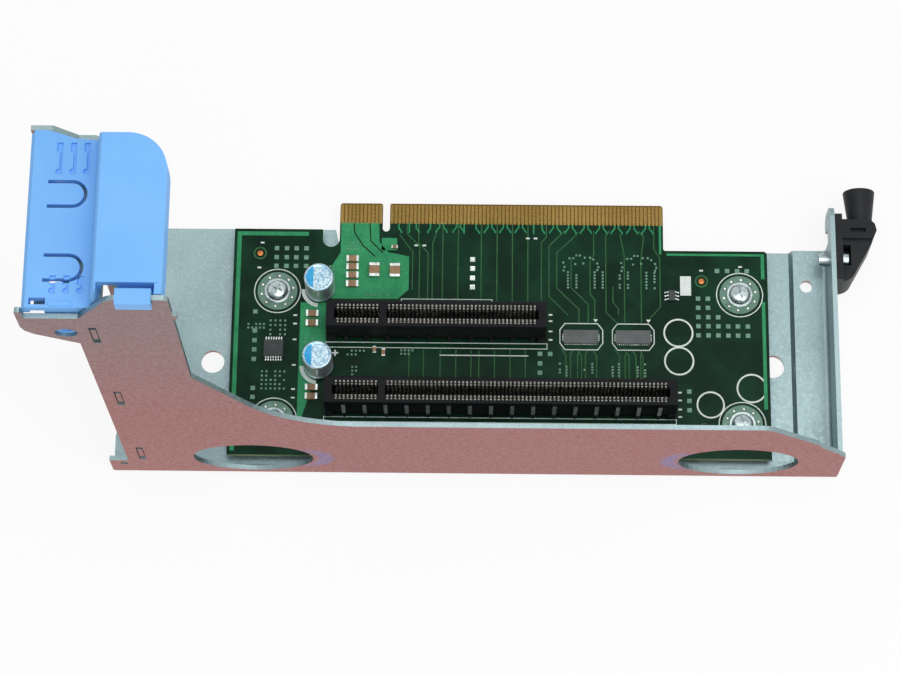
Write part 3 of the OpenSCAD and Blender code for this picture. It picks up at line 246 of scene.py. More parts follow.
def canAluminium():
    look = canLook
    material, tree, shader, place = startMaterial("drawn aluminium can", look["metallic"], look["roughness"])
    where = place.outputs["Object"]
    dots = addNode(tree, "ShaderNodeTexNoise", {"Vector": where, "Scale": perMetre(look["dot"]),
                                                "Detail": look["detail"], "Roughness": look["dotRoughness"]})
    speck = addNode(tree, "ShaderNodeMapRange", {"Value": dots.outputs["Fac"], "From Min": look["speckSpan"][0],
                                                 "From Max": look["speckSpan"][1]})
    top = addNode(tree, "ShaderNodeMix", {"Factor": speck.outputs[0], "A": hexColor(look["dark"]),
                                          "B": hexColor(look["light"])}, data_type="RGBA")
    turned = addNode(tree, "ShaderNodeSeparateXYZ", {0: place.outputs["Normal"]})
    up = addNode(tree, "ShaderNodeMapRange", {"Value": turned.outputs["Z"], "From Min": look["topSpan"][0],
                                              "From Max": look["topSpan"][1]})
    colour = addNode(tree, "ShaderNodeMix", {"Factor": up.outputs[0], "A": hexColor(look["side"]),
                                             "B": top.outputs["Result"]}, data_type="RGBA")
    bump = addNode(tree, "ShaderNodeBump", {"Height": dots.outputs["Fac"], "Strength": look["bump"],
                                            "Distance": mm(look["bumpHeight"])})
    tree.links.new(colour.outputs["Result"], shader.inputs["Base Color"])
    tree.links.new(bump.outputs[0], shader.inputs["Normal"])
    return material


finishes = {
    # Moulded blue ABS: even and matt, with a fine spark-eroded texture
    "moulded blue ABS": {
        "dark": "#74B4F5", "light": "#80BEFB", "grain": 0.25, "patch": 14, "roughness": 0.5,
        "glossSpread": 0.06, "metallic": 0.0, "specular": 0.3, "bump": 0.18},
    # Glass-filled black polymer of card slots: near black with a soft sheen on its ribs
    "glass-filled black LCP": {
        "dark": "#08090B", "light": "#15171B", "grain": 0.3, "patch": 6, "roughness": 0.42,
        "glossSpread": 0.08, "metallic": 0.0, "specular": 0.12, "bump": 0.2},
    # Black nylon of the guide: a little greyer, satin
    "moulded black nylon": {
        "dark": "#141517", "light": "#25272A", "grain": 0.35, "patch": 5, "roughness": 0.45,
        "glossSpread": 0.07, "metallic": 0.0, "specular": 0.18, "bump": 0.22},
    # Rubber seal under the cans: dead matt
    "black rubber seal": {
        "dark": "#101010", "light": "#1B1B1A", "grain": 0.3, "patch": 3, "roughness": 0.75,
        "glossSpread": 0.05, "metallic": 0.0, "specular": 0.1, "bump": 0.2},
    # Bright zinc plate on rolled screws: mirror-like with a cold tone
    "bright zinc plate": {
        "dark": "#8E9B9D", "light": "#C2CCCC", "grain": 0.5, "patch": 2, "roughness": 0.24,
        "glossSpread": 0.08, "metallic": 1.0, "bump": 0.2},
    # Satin plate of rivets and standoffs
    "satin nickel plate": {
        "dark": "#868E90", "light": "#A8AFAF", "grain": 0.4, "patch": 3, "roughness": 0.36,
        "glossSpread": 0.08, "metallic": 1.0, "bump": 0.2},
    # Hard gold over nickel on the edge fingers: warm ochre yellow
    "hard gold plate": {
        "dark": "#7A6433", "light": "#957D47", "grain": 0.5, "patch": 12, "roughness": 0.3,
        "glossSpread": 0.08, "metallic": 1.0, "bump": 0.12},
    # Tin over bronze on the contacts: small bright dots from above
    "tinned phosphor bronze": {
        "dark": "#BDBAAE", "light": "#F0EEE6", "grain": 0.3, "patch": 2, "roughness": 0.25,
        "glossSpread": 0.06, "metallic": 1.0, "bump": 0.1},
    # Epoxy resin of chips: charcoal, matt
    "moulded epoxy resin": {
        "dark": "#35393B", "light": "#4A4F50", "grain": 0.3, "patch": 3, "roughness": 0.55,
        "glossSpread": 0.06, "metallic": 0.0, "specular": 0.2, "bump": 0.25},
    # The two long chips have a lighter, ground top
    "ground epoxy resin": {
        "dark": "#515556", "light": "#6B6E6E", "grain": 0.3, "patch": 4, "roughness": 0.5,
        "glossSpread": 0.06, "metallic": 0.0, "specular": 0.22, "bump": 0.25},
    # Tinned ends and joints: silver white, slightly uneven
    "reflowed solder": {
        "dark": "#A9B3B0", "light": "#E9EFEC", "grain": 0.5, "patch": 1.5, "roughness": 0.3,
        "glossSpread": 0.1, "metallic": 1.0, "bump": 0.3},
    # Fired barium titanate of chip capacitors: dusty brown
    "fired tan ceramic": {
        "dark": "#86684F", "light": "#A58668", "grain": 0.3, "patch": 1.6, "roughness": 0.6,
        "glossSpread": 0.05, "metallic": 0.0, "specular": 0.25, "bump": 0.15},
    # Mask where copper lies under it: the same green, lit from below by the metal
    "solder mask over copper": {
        "dark": "#2C8457", "light": "#3D9C69", "grain": 0.8, "patch": 5, "roughness": 0.32,
        "glossSpread": 0.06, "metallic": 0.0, "specular": 0.12, "bump": 0.1},
    # Mask over a thin track: dimmer and browner than over a full area
    "solder mask over tracks": {
        "dark": "#2B5A36", "light": "#3F6E45", "grain": 0.8, "patch": 5, "roughness": 0.34,
        "glossSpread": 0.06, "metallic": 0.0, "specular": 0.12, "bump": 0.1},
    # Screened white epoxy ink: chalky, slightly broken
    "screened white ink": {
        "dark": "#CBD8D2", "light": "#EEF4F0", "grain": 0.3, "patch": 2, "roughness": 0.6,
        "glossSpread": 0.05, "metallic": 0.0, "specular": 0.2, "bump": 0.2},
    # Test squares under mask: pale grey green
    "masked test pads": {
        "dark": "#5F8A75", "light": "#84A995", "grain": 0.4, "patch": 2, "roughness": 0.4,
        "glossSpread": 0.06, "metallic": 0.0, "specular": 0.15, "bump": 0.15},
    # Bare copper of the two sighting marks, dull under flux
    "flux-dulled copper": {
        "dark": "#A85A2C", "light": "#D08A55", "grain": 0.3, "patch": 1, "roughness": 0.35,
        "glossSpread": 0.06, "metallic": 0.9, "bump": 0.15},
    # Tin under dried flux on the screw lands: grey with a green cast
    "flux-coated tin plate": {
        "dark": "#4A6459", "light": "#647F75", "grain": 0.4, "patch": 2, "roughness": 0.4,
        "glossSpread": 0.08, "metallic": 0.9, "bump": 0.2},
    # Pale strips on the rib fronts: a painted highlight, the lamp's sheen painted into the colour
    "rib faces painted highlight": {
        "dark": "#7C8280", "light": "#B4B9B5", "grain": 0.5, "patch": 2, "roughness": 0.5,
        "glossSpread": 0.06, "metallic": 0.0, "specular": 0.2, "bump": 0.2},
    # Blue ink on the can tops
    "printed blue ink": {
        "dark": "#2B97D2", "light": "#4DB4E4", "grain": 0.5, "patch": 2, "roughness": 0.4,
        "glossSpread": 0.05, "metallic": 0.2, "specular": 0.25, "bump": 0.15},
}
made = {name: grainMaterial(name, look) for name, look in finishes.items()}
made["zinc-plated steel"] = zincSheet()
made["solder mask on glass laminate"] = boardLaminate()
made["drawn aluminium can"] = canAluminium()

nodeFinish = {
    "cage": "zinc-plated steel", "slot_wall": "zinc-plated steel", "wall_rivets": "satin nickel plate",
    "latch": "moulded blue ABS", "circuit_board": "solder mask on glass laminate",
    "standoffs": "satin nickel plate", "board_screws": "bright zinc plate", "edge_fingers": "hard gold plate",
    "long_slot_housing": "glass-filled black LCP", "long_slot_contacts": "tinned phosphor bronze",
    "short_slot_housing": "glass-filled black LCP", "short_slot_contacts": "tinned phosphor bronze",
    "round_capacitors": "drawn aluminium can", "capacitor_seals": "black rubber seal",
    "switch_chips": "ground epoxy resin", "switch_chip_terminals": "reflowed solder",
    "logic_chip": "moulded epoxy resin", "logic_chip_leads": "reflowed solder",
    "timer_chip": "moulded epoxy resin", "timer_chip_leads": "reflowed solder",
    "chip_capacitors": "fired tan ceramic", "guide_block": "moulded black nylon", "guide_screw": "bright zinc plate",
}
for name, finish in nodeFinish.items():
    dress(nodes[name], made[finish])
print("frame dressed with", len(made), "materials")


def dropSelection():
    if bpy.context.object and bpy.context.object.mode != "OBJECT":
        bpy.ops.object.mode_set(mode="OBJECT")
    bpy.ops.object.select_all(action="DESELECT")


def finishPiece(piece, name, finish, body="cage"):
    # The piece's place goes into its mesh, then it gets its name, finish and body
    dropSelection()
    piece.select_set(True)
    bpy.context.view_layer.objects.active = piece
    bpy.ops.object.transform_apply(location=True, rotation=True, scale=True)
    piece.name = name
    piece.data.name = name
    dress(piece, made[finish])
    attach(piece, body)
    print("made", name, len(piece.data.polygons), "faces")
    return piece


def bevelEdges(piece, width, segments=2, angle=35):
    bevel = piece.modifiers.new("soft edges", "BEVEL")
    bevel.width = mm(width)
    bevel.segments = segments
    bevel.limit_method = "ANGLE"
    bevel.angle_limit = math.radians(angle)
    bpy.context.view_layer.objects.active = piece
    bpy.ops.object.modifier_apply(modifier=bevel.name)


def copyTo(piece, places):
    # One copy of the mesh for each place (x, y, turn in degrees), joined into one object
    copies = []
    for place in places:
        twin = piece.copy()
        twin.data = piece.data.copy()
        turn = Matrix.Rotation(math.radians(place[2] if len(place) > 2 else 0), 4, "Z")
        twin.data.transform(Matrix.Translation((mm(place[0]), mm(place[1]), 0)) @ turn)
        bpy.context.scene.collection.objects.link(twin)
        copies.append(twin)
    bpy.data.objects.remove(piece)
    dropSelection()
    for twin in copies:
        twin.select_set(True)
    bpy.context.view_layer.objects.active = copies[0]
    if len(copies) > 1:
        bpy.ops.object.join()
    return bpy.context.object


def raisedBlock(size, low, inset=0.0, drop=0.0):
    # A block that stands at low, its top face inset and let down by drop, all in mm
    dropSelection()
    bpy.ops.mesh.primitive_cube_add(size=1, location=(0, 0, mm(low + size[2] / 2)), scale=[mm(s) for s in size])
    piece = bpy.context.object
    bpy.ops.object.transform_apply(location=True, rotation=True, scale=True)
    if inset:
        bpy.ops.object.mode_set(mode="EDIT")
        bpy.ops.mesh.select_mode(type="FACE")
        bpy.ops.object.mode_set(mode="OBJECT")
        for face in piece.data.polygons:
            face.select = face.normal.z > 0.9
        bpy.ops.object.mode_set(mode="EDIT")
        bpy.ops.mesh.inset(thickness=mm(inset), depth=-mm(drop))
        bpy.ops.object.mode_set(mode="OBJECT")
    return piece


def flatRing(outer, inner, low, high, corners=48):
    # A washer shape: a circle is extruded inwards, then up
    dropSelection()
    bpy.ops.mesh.primitive_circle_add(vertices=corners, radius=mm(outer), location=(0, 0, 0))
    piece = bpy.context.object
    bpy.ops.object.mode_set(mode="EDIT")
    bpy.ops.mesh.select_all(action="SELECT")
    bpy.ops.transform.translate(value=(0, 0, mm(low)))
    bpy.ops.mesh.extrude_edges_move()
    share = inner / outer
    bpy.ops.transform.resize(value=(share, share, 1), center_override=(0, 0, mm(low)))
    bpy.ops.mesh.select_all(action="SELECT")
    bpy.ops.mesh.extrude_region_move(TRANSFORM_OT_translate={"value": (0, 0, mm(high - low))})
    bpy.ops.mesh.select_all(action="SELECT")
    bpy.ops.mesh.normals_make_consistent(inside=False)
    bpy.ops.object.mode_set(mode="OBJECT")
    return piece


def lowDome(radius, low, height, corners=12):
    # A drop of solder: a disc extruded in three steps that draw in
    dropSelection()
    bpy.ops.mesh.primitive_circle_add(vertices=corners, radius=mm(radius), fill_type="NGON")
    piece = bpy.context.object
    bpy.ops.object.mode_set(mode="EDIT")
    bpy.ops.mesh.select_all(action="SELECT")
    bpy.ops.transform.translate(value=(0, 0, mm(low)))
    level = low
    for share, rise in ((0.86, 0.45), (0.72, 0.3), (0.5, 0.25)):
        bpy.ops.mesh.extrude_region_move(TRANSFORM_OT_translate={"value": (0, 0, mm(height * rise))})
        level += height * rise
        bpy.ops.transform.resize(value=(share, share, 1), center_override=(0, 0, mm(level)))
    bpy.ops.mesh.select_all(action="SELECT")
    bpy.ops.mesh.normals_make_consistent(inside=False)
    bpy.ops.object.mode_set(mode="OBJECT")
    bpy.ops.object.shade_smooth()
    return piece


def drawnLines(lines, width, low, rise):
    # Flat lines of ink or copper: curves made a mesh, then pressed down to the board
    dropSelection()
    curve = bpy.data.curves.new("lines", "CURVE")
    curve.dimensions = "3D"
    curve.bevel_depth = mm(width / 2)
    curve.bevel_resolution = 1
    curve.use_fill_caps = True
    for points, closed in lines:
        spline = curve.splines.new("POLY")
        spline.points.add(len(points) - 1)
        for point, (x, y) in zip(spline.points, points):
            point.co = (mm(x), mm(y), 0, 1)
        spline.use_cyclic_u = closed
    piece = bpy.data.objects.new("lines", curve)
    bpy.context.scene.collection.objects.link(piece)
    piece.select_set(True)
    bpy.context.view_layer.objects.active = piece
    bpy.ops.object.convert(target="MESH")
    piece = bpy.context.object
    bpy.ops.object.mode_set(mode="EDIT")
    bpy.ops.mesh.select_all(action="SELECT")
    bpy.ops.transform.resize(value=(1, 1, rise / (width / 2)), center_override=(0, 0, 0))
    bpy.ops.transform.translate(value=(0, 0, mm(low)))
    bpy.ops.object.mode_set(mode="OBJECT")
    return piece


def filledAreas(outlines, low, high):
    # Closed outlines filled and given a thickness
    dropSelection()
    curve = bpy.data.curves.new("areas", "CURVE")
    curve.dimensions = "2D"
    curve.fill_mode = "BOTH"
    curve.extrude = mm((high - low) / 2)
    for points in outlines:
        spline = curve.splines.new("POLY")
        spline.points.add(len(points) - 1)
        for point, (x, y) in zip(spline.points, points):
            point.co = (mm(x), mm(y), 0, 1)
        spline.use_cyclic_u = True
    piece = bpy.data.objects.new("areas", curve)
    bpy.context.scene.collection.objects.link(piece)
    piece.location.z = mm((low + high) / 2)
    piece.select_set(True)
    bpy.context.view_layer.objects.active = piece
    bpy.ops.object.convert(target="MESH")
    return bpy.context.object


def rectangle(x0, y0, x1, y1):
    return [(x0, y0), (x1, y0), (x1, y1), (x0, y1)]


def arcPoints(x, y, radius, start, end, steps=32):
    turns = [math.radians(start + (end - start) * i / steps) for i in range(steps + 1)]
    return [(x + radius * math.cos(a), y + radius * math.sin(a)) for a in turns]


def ringLine(x, y, radius, steps=48):
    return arcPoints(x, y, radius, 0, 360 - 360 / steps, steps - 1), True


# Copper areas that show through the mask as lighter green
copper = {"rise": 0.03, "stripWidth": 1.1, "stripInset": 0.75, "gapWidth": 0.4, "gapRise": 0.02, "sunk": 0.02,
          "belowKey": [(-43.6, 36.7), (-33.7, 36.7), (-33.6, 31.2), (-31.2, 28.4), (-29.0, 28.0), (-25.8, 27.3),
                       (-25.8, 18.2), (-28.6, 15.6), (-46.2, 15.5), (-46.9, 17.0), (-45.9, 24.5), (-43.6, 28.3)],
          "keySide": [(-33.0, 29.0), (-29.0, 29.0), (-29.0, 32.4), (-33.0, 32.4)],
          "gaps": [[(-40.3, 36.7), (-40.1, 33.9), (-37.9, 30.3), (-34.6, 27.2)],
                   [(-36.2, 36.7), (-35.8, 31.5), (-32.6, 28.2)]],
          "besideSlots": [(-53.6, 14.4), (-46.9, 14.4), (-46.9, -20.6), (-53.8, -20.6)],
          "betweenSlots": [(-46.9, 1.9), (-41.4, 1.9), (-41.4, -5.4), (-39.8, -5.4), (-39.8, 1.9), (-30.2, 1.9),
                           (-30.2, -6.6), (-46.9, -6.6)],
          "underLong": [(-46.9, -16.9), (-31.0, -16.9), (-31.0, -20.6), (-46.9, -20.6)]}
stripOut = copper["stripInset"]
stripIn = stripOut + copper["stripWidth"]
strips = [rectangle(board["left"] + stripOut, board["near"] + 1, board["left"] + stripIn,
                    board["farLeft"] - stripOut),
          rectangle(board["left"] + stripIn + 0.05, board["farLeft"] - stripIn, -52.0, board["farLeft"] - stripOut),
          rectangle(board["right"] - stripIn + 0.2, 21.9, board["right"] - stripOut, board["farRight"] - stripOut),
          rectangle(board["right"] - stripIn + 0.2, -13.4, board["right"] - stripOut, 15.6),
          rectangle(41.0, board["farRight"] - stripOut - 0.6, board["right"] - stripIn + 0.15,
                    board["farRight"] - stripOut),
          rectangle(board["tabRight"] - 1.1, 28.5, board["tabRight"] - 0.5, 36.6)]
plain = [copper[key] for key in ("belowKey", "keySide", "besideSlots", "betweenSlots", "underLong")]
areas = filledAreas(plain + strips, board["top"] - copper["sunk"], board["top"] + copper["rise"])
finishPiece(areas, "copper_areas", "solder mask over copper")
gaps = [(points, False) for points in copper["gaps"]]
finishPiece(drawnLines(gaps, copper["gapWidth"], board["top"] + copper["rise"], copper["gapRise"]), 
            "copper_gaps", "solder mask on glass laminate")

# Tracks from the gold edge: short stubs in pairs, and long runs down to the slots and chips
tracks = {"width": 0.34, "stubWidth": 0.42, "rise": 0.03, "stubPairs": (-17.0, -12.6, -4.4, -0.4, 3.6, 12.6, 16.6,
                                                                       20.6, 24.6, 28.6, 32.6, 36.6),
          "straight": (-17.1, -13.1, -7.1, -3.0, 1.0, 5.0), "underShort": (-25.4, -21.7, -17.4, -13.4, -9.5, -7.5,
                                                                           -3.5, 0.5, 4.4)}
stubs = []
for x in tracks["stubPairs"]:
    for side in (-1, 1):
        top = x + side * 0.5 - 0.5
        stubs.append(([(top, 36.8), (top, 35.6), (top + side * 0.9, 34.4), (top + side * 0.9, 34.0)], False))
for x, foot in ((-28.6, 0.7), (-25.9, 0), (-24.1, 0.8), (-20.4, -0.7), (-8.5, 0.8), (-11.6, 0), (6.5, 0), (8.7, 0.6)):
    stubs.append(([(x, 36.8), (x, 35.2), (x + foot, 34.2), (x + foot, 33.8)], False))
finishPiece(drawnLines(stubs, tracks["stubWidth"], board["top"], tracks["rise"]), "edge_stubs",
            "solder mask over copper")
runs = [([(x, 36.8), (x, 15.0)], False) for x in tracks["straight"]]
runs += [([(x, 1.9), (x, -7.2)], False) for x in tracks["underShort"]]
runs += [([(-18.5, 34.8), (-19.7, 31.2), (-19.7, 15.0)], False),
         ([(-23.4, 36.8), (-23.4, 31.0), (-20.9, 28.4), (-20.9, 15.0)], False),
         ([(-26.4, 36.8), (-26.4, 33.6), (-23.1, 30.2), (-23.1, 15.0)], False),
         ([(-28.4, 33.4), (-24.9, 28.6), (-24.9, 18.2)], False),
         ([(9.8, 36.8), (9.8, 33.0), (8.5, 31.6), (8.5, 15.6)], False),
         ([(14.6, 34.8), (10.5, 30.6), (10.5, 16.6), (15.4, 11.6)], False),
         ([(18.1, 34.4), (15.8, 31.9), (12.5, 28.7), (12.5, 19.0), (14.6, 16.8), (18.2, 13.2), (18.2, 9.4)], False),
         ([(16.2, 27.0), (16.2, 19.1), (20.6, 14.6), (20.6, 9.4)], False),
         ([(22.1, 34.8), (22.1, 28.4), (21.1, 26.4), (21.1, 17.4), (22.3, 15.8), (22.3, 9.4)], False),
         ([(26.2, 34.8), (25.2, 33.4), (25.2, 12.4), (28.0, 9.6)], False),
         ([(29.6, 34.6), (29.0, 33.6), (30.0, 28.0), (30.0, 9.6)], False),
         ([(33.8, 34.8), (35.1, 33.2), (34.3, 27.0), (34.3, 9.6)], False),
         ([(37.7, 36.8), (37.7, 30.0), (39.2, 27.4), (39.2, 14.0), (36.4, 10.8)], False),
         ([(27.0, 19.5), (27.0, 15.2), (28.4, 13.4), (28.4, 11.8)], False)]
for x in (13.6, 16.6, 17.6, 18.4, 20.4, 21.5, 27.4, 29.8, 30.6, 31.6, 33.4, 34.6):
    lean = 1.2 if x % 2 > 1 else -0.6
    runs.append(([(x, 2.6), (x + lean, 0.6), (x + lean, -7.6)], False))
finishPiece(drawnLines(runs, tracks["width"], board["top"], tracks["rise"] * 0.8), "tracks",
            "solder mask over tracks")

# White ink: slot frames, chip frames, bare rings where marks would be, and ticks beside the parts
ink = {"line": 0.3, "rise": 0.03, "ringLine": 0.5, "seatRing": 5.95, "tick": (0.95, 0.42, 0.03), "tickSink": 0.005,
       "tickInset": 0.05, "markLow": 0.028, "markHigh": 0.05, "canRing": (4.9, 3.9), "canArc": (180, 262)}
lines = [(rectangle(-46.8, 2.3, 10.0, 3.7), True), (rectangle(-46.9, -17.6, 42.9, -16.35), True),
         ([(-27.6, 14.8), (-27.6, 15.6), (-4.2, 15.6), (-4.2, 14.9)], False),
         ([(-17.6, 0.4), (5.2, 0.4)], False)]
for x0, x1 in ((13.3, 24.3), (26.8, 37.5)):
    lines.append(([(x0, 7.6), (x0, 4.0), (x0 + 1.3, 2.2), (x1 - 1.3, 2.2), (x1, 4.0), (x1, 7.6), (x1 - 1.3, 9.3),
                   (x0 + 1.3, 9.3)], True))
for x, y in board["screws"]:
    lines.append(ringLine(x, y, ink["seatRing"]))
finishPiece(drawnLines(lines, ink["line"], board["top"], ink["rise"]), "ink_lines", "screened white ink")
rings = [ringLine(43.75, 7.0, 3.65), ringLine(43.85, -0.6, 3.65), ringLine(62.3, -7.8, 3.7),
         ringLine(51.7, -12.3, 3.4)]
finishPiece(drawnLines(rings, ink["ringLine"], board["top"], ink["rise"]), "ink_rings", "screened white ink")
ticks = [(10.9, 11.6), (10.9, 9.9), (10.9, 7.1), (10.9, 4.8), (43.9, -9.1), (43.9, -11.2), (43.9, -13.6),
         (43.9, -15.6), (-54.9, 10.9), (-54.9, 8.6), (-54.9, 4.3), (-54.9, -2.6), (-54.9, -9.1), (-54.9, -11.4),
         (-64.0, 30.8), (49.9, 24.1), (-64.6, 23.9), (60.0, 25.2), (-24.0, 30.4), (-21.9, 30.4), (5.0, 32.6),
         (7.0, 32.6)]
finishPiece(copyTo(raisedBlock(ink["tick"], board["top"] - ink["tickSink"], ink["tickInset"]), ticks), "ink_ticks",
            "screened white ink")
arrows = filledAreas([[(22.5, 9.7), (23.1, 10.5), (21.9, 10.5)], [(36.1, 9.7), (36.7, 10.5), (35.5, 10.5)],
                      rectangle(44.4, 17.2, 47.2, 22.5)]
                     + [arcPoints(x, y, ink["canRing"][0], *ink["canArc"], 20)
                        + arcPoints(x, y, ink["canRing"][1], *reversed(ink["canArc"]), 20) for x, y in board["cans"]]
                     + [rectangle(-45.2, 0.55, -43.6, 0.95), rectangle(-44.6, -0.05, -44.2, 0.5),
                        rectangle(-44.6, 1.0, -44.2, 1.55)],
                     board["top"] + ink["markLow"], board["top"] + ink["markHigh"])
finishPiece(arrows, "ink_marks", "screened white ink")

# Square test pads in columns, seen through the mask
pads = {"size": (1.15, 1.15, 0.05), "bright": (1.25, 1.25, 0.06), "small": (0.5, 0.5, 0.05), "chance": 0.86,
        "dot": (0.8, 0.05), "ring": (1.75, 1.3, 0.03)}
squares = [(x, y) for x in (-60.2, -57.6, -55.1, -52.5) for y in (29.3, 26.8, 24.4)]
squares += [(x, 24.05) for x in (54.0, 56.6, 59.2, 61.7)]
squares += [(x, y) for x in (48.95, 51.5) for y in (16.4, 13.9, 11.35, 8.9, 6.4)] + [(54.05, 11.35)]
squares += [(x, y) for x in (54.05, 56.6, 59.1, 61.65) for y in (8.9, 6.4)]
squares += [(-65.2, y) for y in (11.8, 6.6, 4.0, 1.5, -1.1, -8.9, -11.3)]
squares += [(46.3, y) for y in (-8.8, -11.3, -13.8)] + [(8.2, 1.0), (10.8, 1.0), (8.2, -1.6), (8.2, -4.1)]
finishPiece(copyTo(raisedBlock(pads["size"], board["top"] - board["sink"], 0.12, 0.015), squares), "test_pads",
            "masked test pads")
bright = [(-9.3, y) for y in (26.6, 24.1, 21.5, 19.0)]
finishPiece(copyTo(raisedBlock(pads["bright"], board["top"] - board["sink"], 0.14, 0.015), bright), "bright_pads",
            "reflowed solder")
# Rows of tiny vias and resistor pads, in loose groups
random.seed(11)
dots = []
groups = [(-66.9, 8.4, 5, 2, 1.0), (-61.2, 9.4, 4, 4, 1.25), (-63.0, -4.4, 6, 5, 1.15), (15.4, 23.4, 1, 6, 0.85),
          (17.6, 23.4, 1, 6, 0.85), (22.3, 23.4, 1, 6, 0.85), (24.4, 23.4, 1, 6, 0.85), (28.8, 23.4, 1, 6, 0.85),
          (30.9, 23.4, 1, 6, 0.85), (35.7, 23.4, 1, 6, 0.85), (37.8, 23.4, 1, 6, 0.85), (13.3, -1.6, 1, 5, 0.8),
          (15.0, -2.4, 1, 4, 0.8), (19.6, -2.4, 1, 4, 0.8), (21.6, -1.6, 1, 5, 0.8), (26.8, -2.4, 1, 4, 0.8),
          (28.4, -1.6, 1, 5, 0.8), (33.2, -2.4, 1, 4, 0.8), (35.1, -1.6, 1, 5, 0.8), (-27.4, 1.6, 4, 2, 0.95),
          (-41.2, 1.4, 5, 2, 1.05), (-39.9, -3.0, 2, 3, 1.0), (-52.2, 4.6, 3, 3, 1.0), (-46.2, 24.4, 2, 7, 0.95),
          (-42.0, 31.0, 4, 3, 0.9), (-36.6, 16.6, 6, 1, 1.1)]
for x, y, across, down, pitch in groups:
    for i in range(across):
        for k in range(down):
            if random.random() < pads["chance"]:
                dots.append((x + i * pitch, y - k * pitch))
for x0 in (14.2, 29.2):
    for spot in ((0, 2.4), (0.3, 1.2), (0.1, 0.2), (1.6, 3.6), (2.6, 3.6), (3.4, 4.4), (4.3, 4.4), (5.6, 3.8),
                 (6.9, 3.8), (7.8, 3.3), (8.8, 2.2), (9.1, 1.2), (8.8, 0.4), (5.2, 2.2), (3.1, 2.0)):
        dots.append((x0 + spot[0], 23.6 + spot[1]))
finishPiece(copyTo(raisedBlock(pads["small"], board["top"] - board["sink"], 0.08, 0.01), dots), "via_dots",
            "masked test pads")
# Sighting marks: a copper dot in a green ring
marksAt = [(-64.5, 27.9), (49.9, 21.2)]
dot = lowDome(pads["dot"][0], board["top"] - board["sink"], pads["dot"][1], 20)
finishPiece(copyTo(dot, marksAt), "sight_dots", "flux-dulled copper")
ring = flatRing(*pads["ring"][:2], board["top"] - board["sink"], board["top"] + pads["ring"][2], 32)
finishPiece(copyTo(ring, marksAt), "sight_rings", "solder mask over tracks")
print("board artwork done")

# Screw seats: tinned land with drops of solder, and a washer under each head
seat = {"landOuter": 5.15, "landInner": 1.75, "drop": 0.36, "dropRing": 4.15, "dropCount": 10, "washerOuter": 3.35,
        "washerInner": 2.66, "washerHeight": 0.5, "landHigh": 0.04, "dropLow": 0.035, "dropHeight": 0.16,
        "washerEdge": 0.12}
land = flatRing(seat["landOuter"], seat["landInner"], board["top"] - board["sink"],
                board["top"] + seat["landHigh"], 56)
finishPiece(copyTo(land, board["screws"]), "screw_lands", "flux-coated tin plate")
drops = []
for x, y in board["screws"]:
    for point in arcPoints(x, y, seat["dropRing"], 12, 372 - 360 / seat["dropCount"], seat["dropCount"] - 1):
        drops.append(point)
finishPiece(copyTo(lowDome(seat["drop"], board["top"] + seat["dropLow"], seat["dropHeight"]), drops), "land_drops",
            "tinned phosphor bronze")
washer = flatRing(seat["washerOuter"], seat["washerInner"], board["top"] + seat["landHigh"],
                  board["top"] + seat["landHigh"] + seat["washerHeight"], 48)
bevelEdges(washer, seat["washerEdge"])
finishPiece(copyTo(washer, board["screws"]), "screw_washers", "bright zinc plate")

# Printed blue side of each can top, cut from a disc
cans = {"radius": 3.2, "printEdge": -1.35, "low": 0.005, "thick": 0.02}
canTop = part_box("round_capacitors")[1].z * 1000
dropSelection()
bpy.ops.mesh.primitive_circle_add(vertices=64, radius=mm(cans["radius"]), fill_type="NGON")
cap = bpy.context.object
bpy.ops.object.mode_set(mode="EDIT")
bpy.ops.mesh.select_all(action="SELECT")
bpy.ops.mesh.bisect(plane_co=(mm(cans["printEdge"]), 0, 0), plane_no=(1, 0, 0), clear_outer=True)
bpy.ops.mesh.select_all(action="SELECT")
bpy.ops.transform.translate(value=(0, 0, mm(canTop + cans["low"])))
bpy.ops.mesh.extrude_region_move(TRANSFORM_OT_translate={"value": (0, 0, mm(cans["thick"]))})
bpy.ops.mesh.select_all(action="SELECT")
bpy.ops.mesh.normals_make_consistent(inside=False)
bpy.ops.object.mode_set(mode="OBJECT")
finishPiece(copyTo(cap, board["cans"]), "can_print", "printed blue ink")

# Tinned ends on the chip capacitors, from each one's centre and size
chips = [(-40.4, 26.3, 3.2, 1.6, 1.2), (-40.4, 24.1, 3.2, 1.6, 1.2), (-40.4, 21.8, 3.2, 1.6, 1.2),
         (-40.4, 19.4, 3.2, 1.6, 1.2), (-34.7, 23.1, 2.6, 3.6, 1.8), (-29.4, 23, 2.6, 3.6, 1.8),
         (-50.5, 11.2, 3.2, 1.6, 1.2), (-50.5, 8.6, 3.2, 1.6, 1.2), (-50.2, -8.8, 3.2, 1.6, 1.2),
         (-50.2, -11.2, 3.2, 1.6, 1.2), (-34.3, 1.6, 0.9, 1.8, 0.8), (-32, 0.9, 0.9, 2, 0.8),
         (-29.6, 29.8, 1.6, 0.8, 0.7)]
cup = {"wrap": 0.03, "share": 0.2, "edge": 0.07, "low": 0.01}
for index, (x, y, sizeX, sizeY, height) in enumerate(chips):
    along = sizeX >= sizeY
    length, breadth = (sizeX, sizeY) if along else (sizeY, sizeX)
    end = length * cup["share"]
    shell = raisedBlock((end, breadth + 2 * cup["wrap"], height + cup["wrap"]), board["top"] + cup["low"])
    bevelEdges(shell, cup["edge"])
    reach = length / 2 - end / 2 + cup["wrap"]
    pair = copyTo(shell, [(-reach, 0), (reach, 0)])
    quarter = Matrix.Rotation(0 if along else math.pi / 2, 4, "Z")
    pair.data.transform(Matrix.Translation((mm(x), mm(y), 0)) @ quarter)
    finishPiece(pair, "capacitor_ends_%d" % index, "reflowed solder")
print("screw seats, cans and capacitors done")
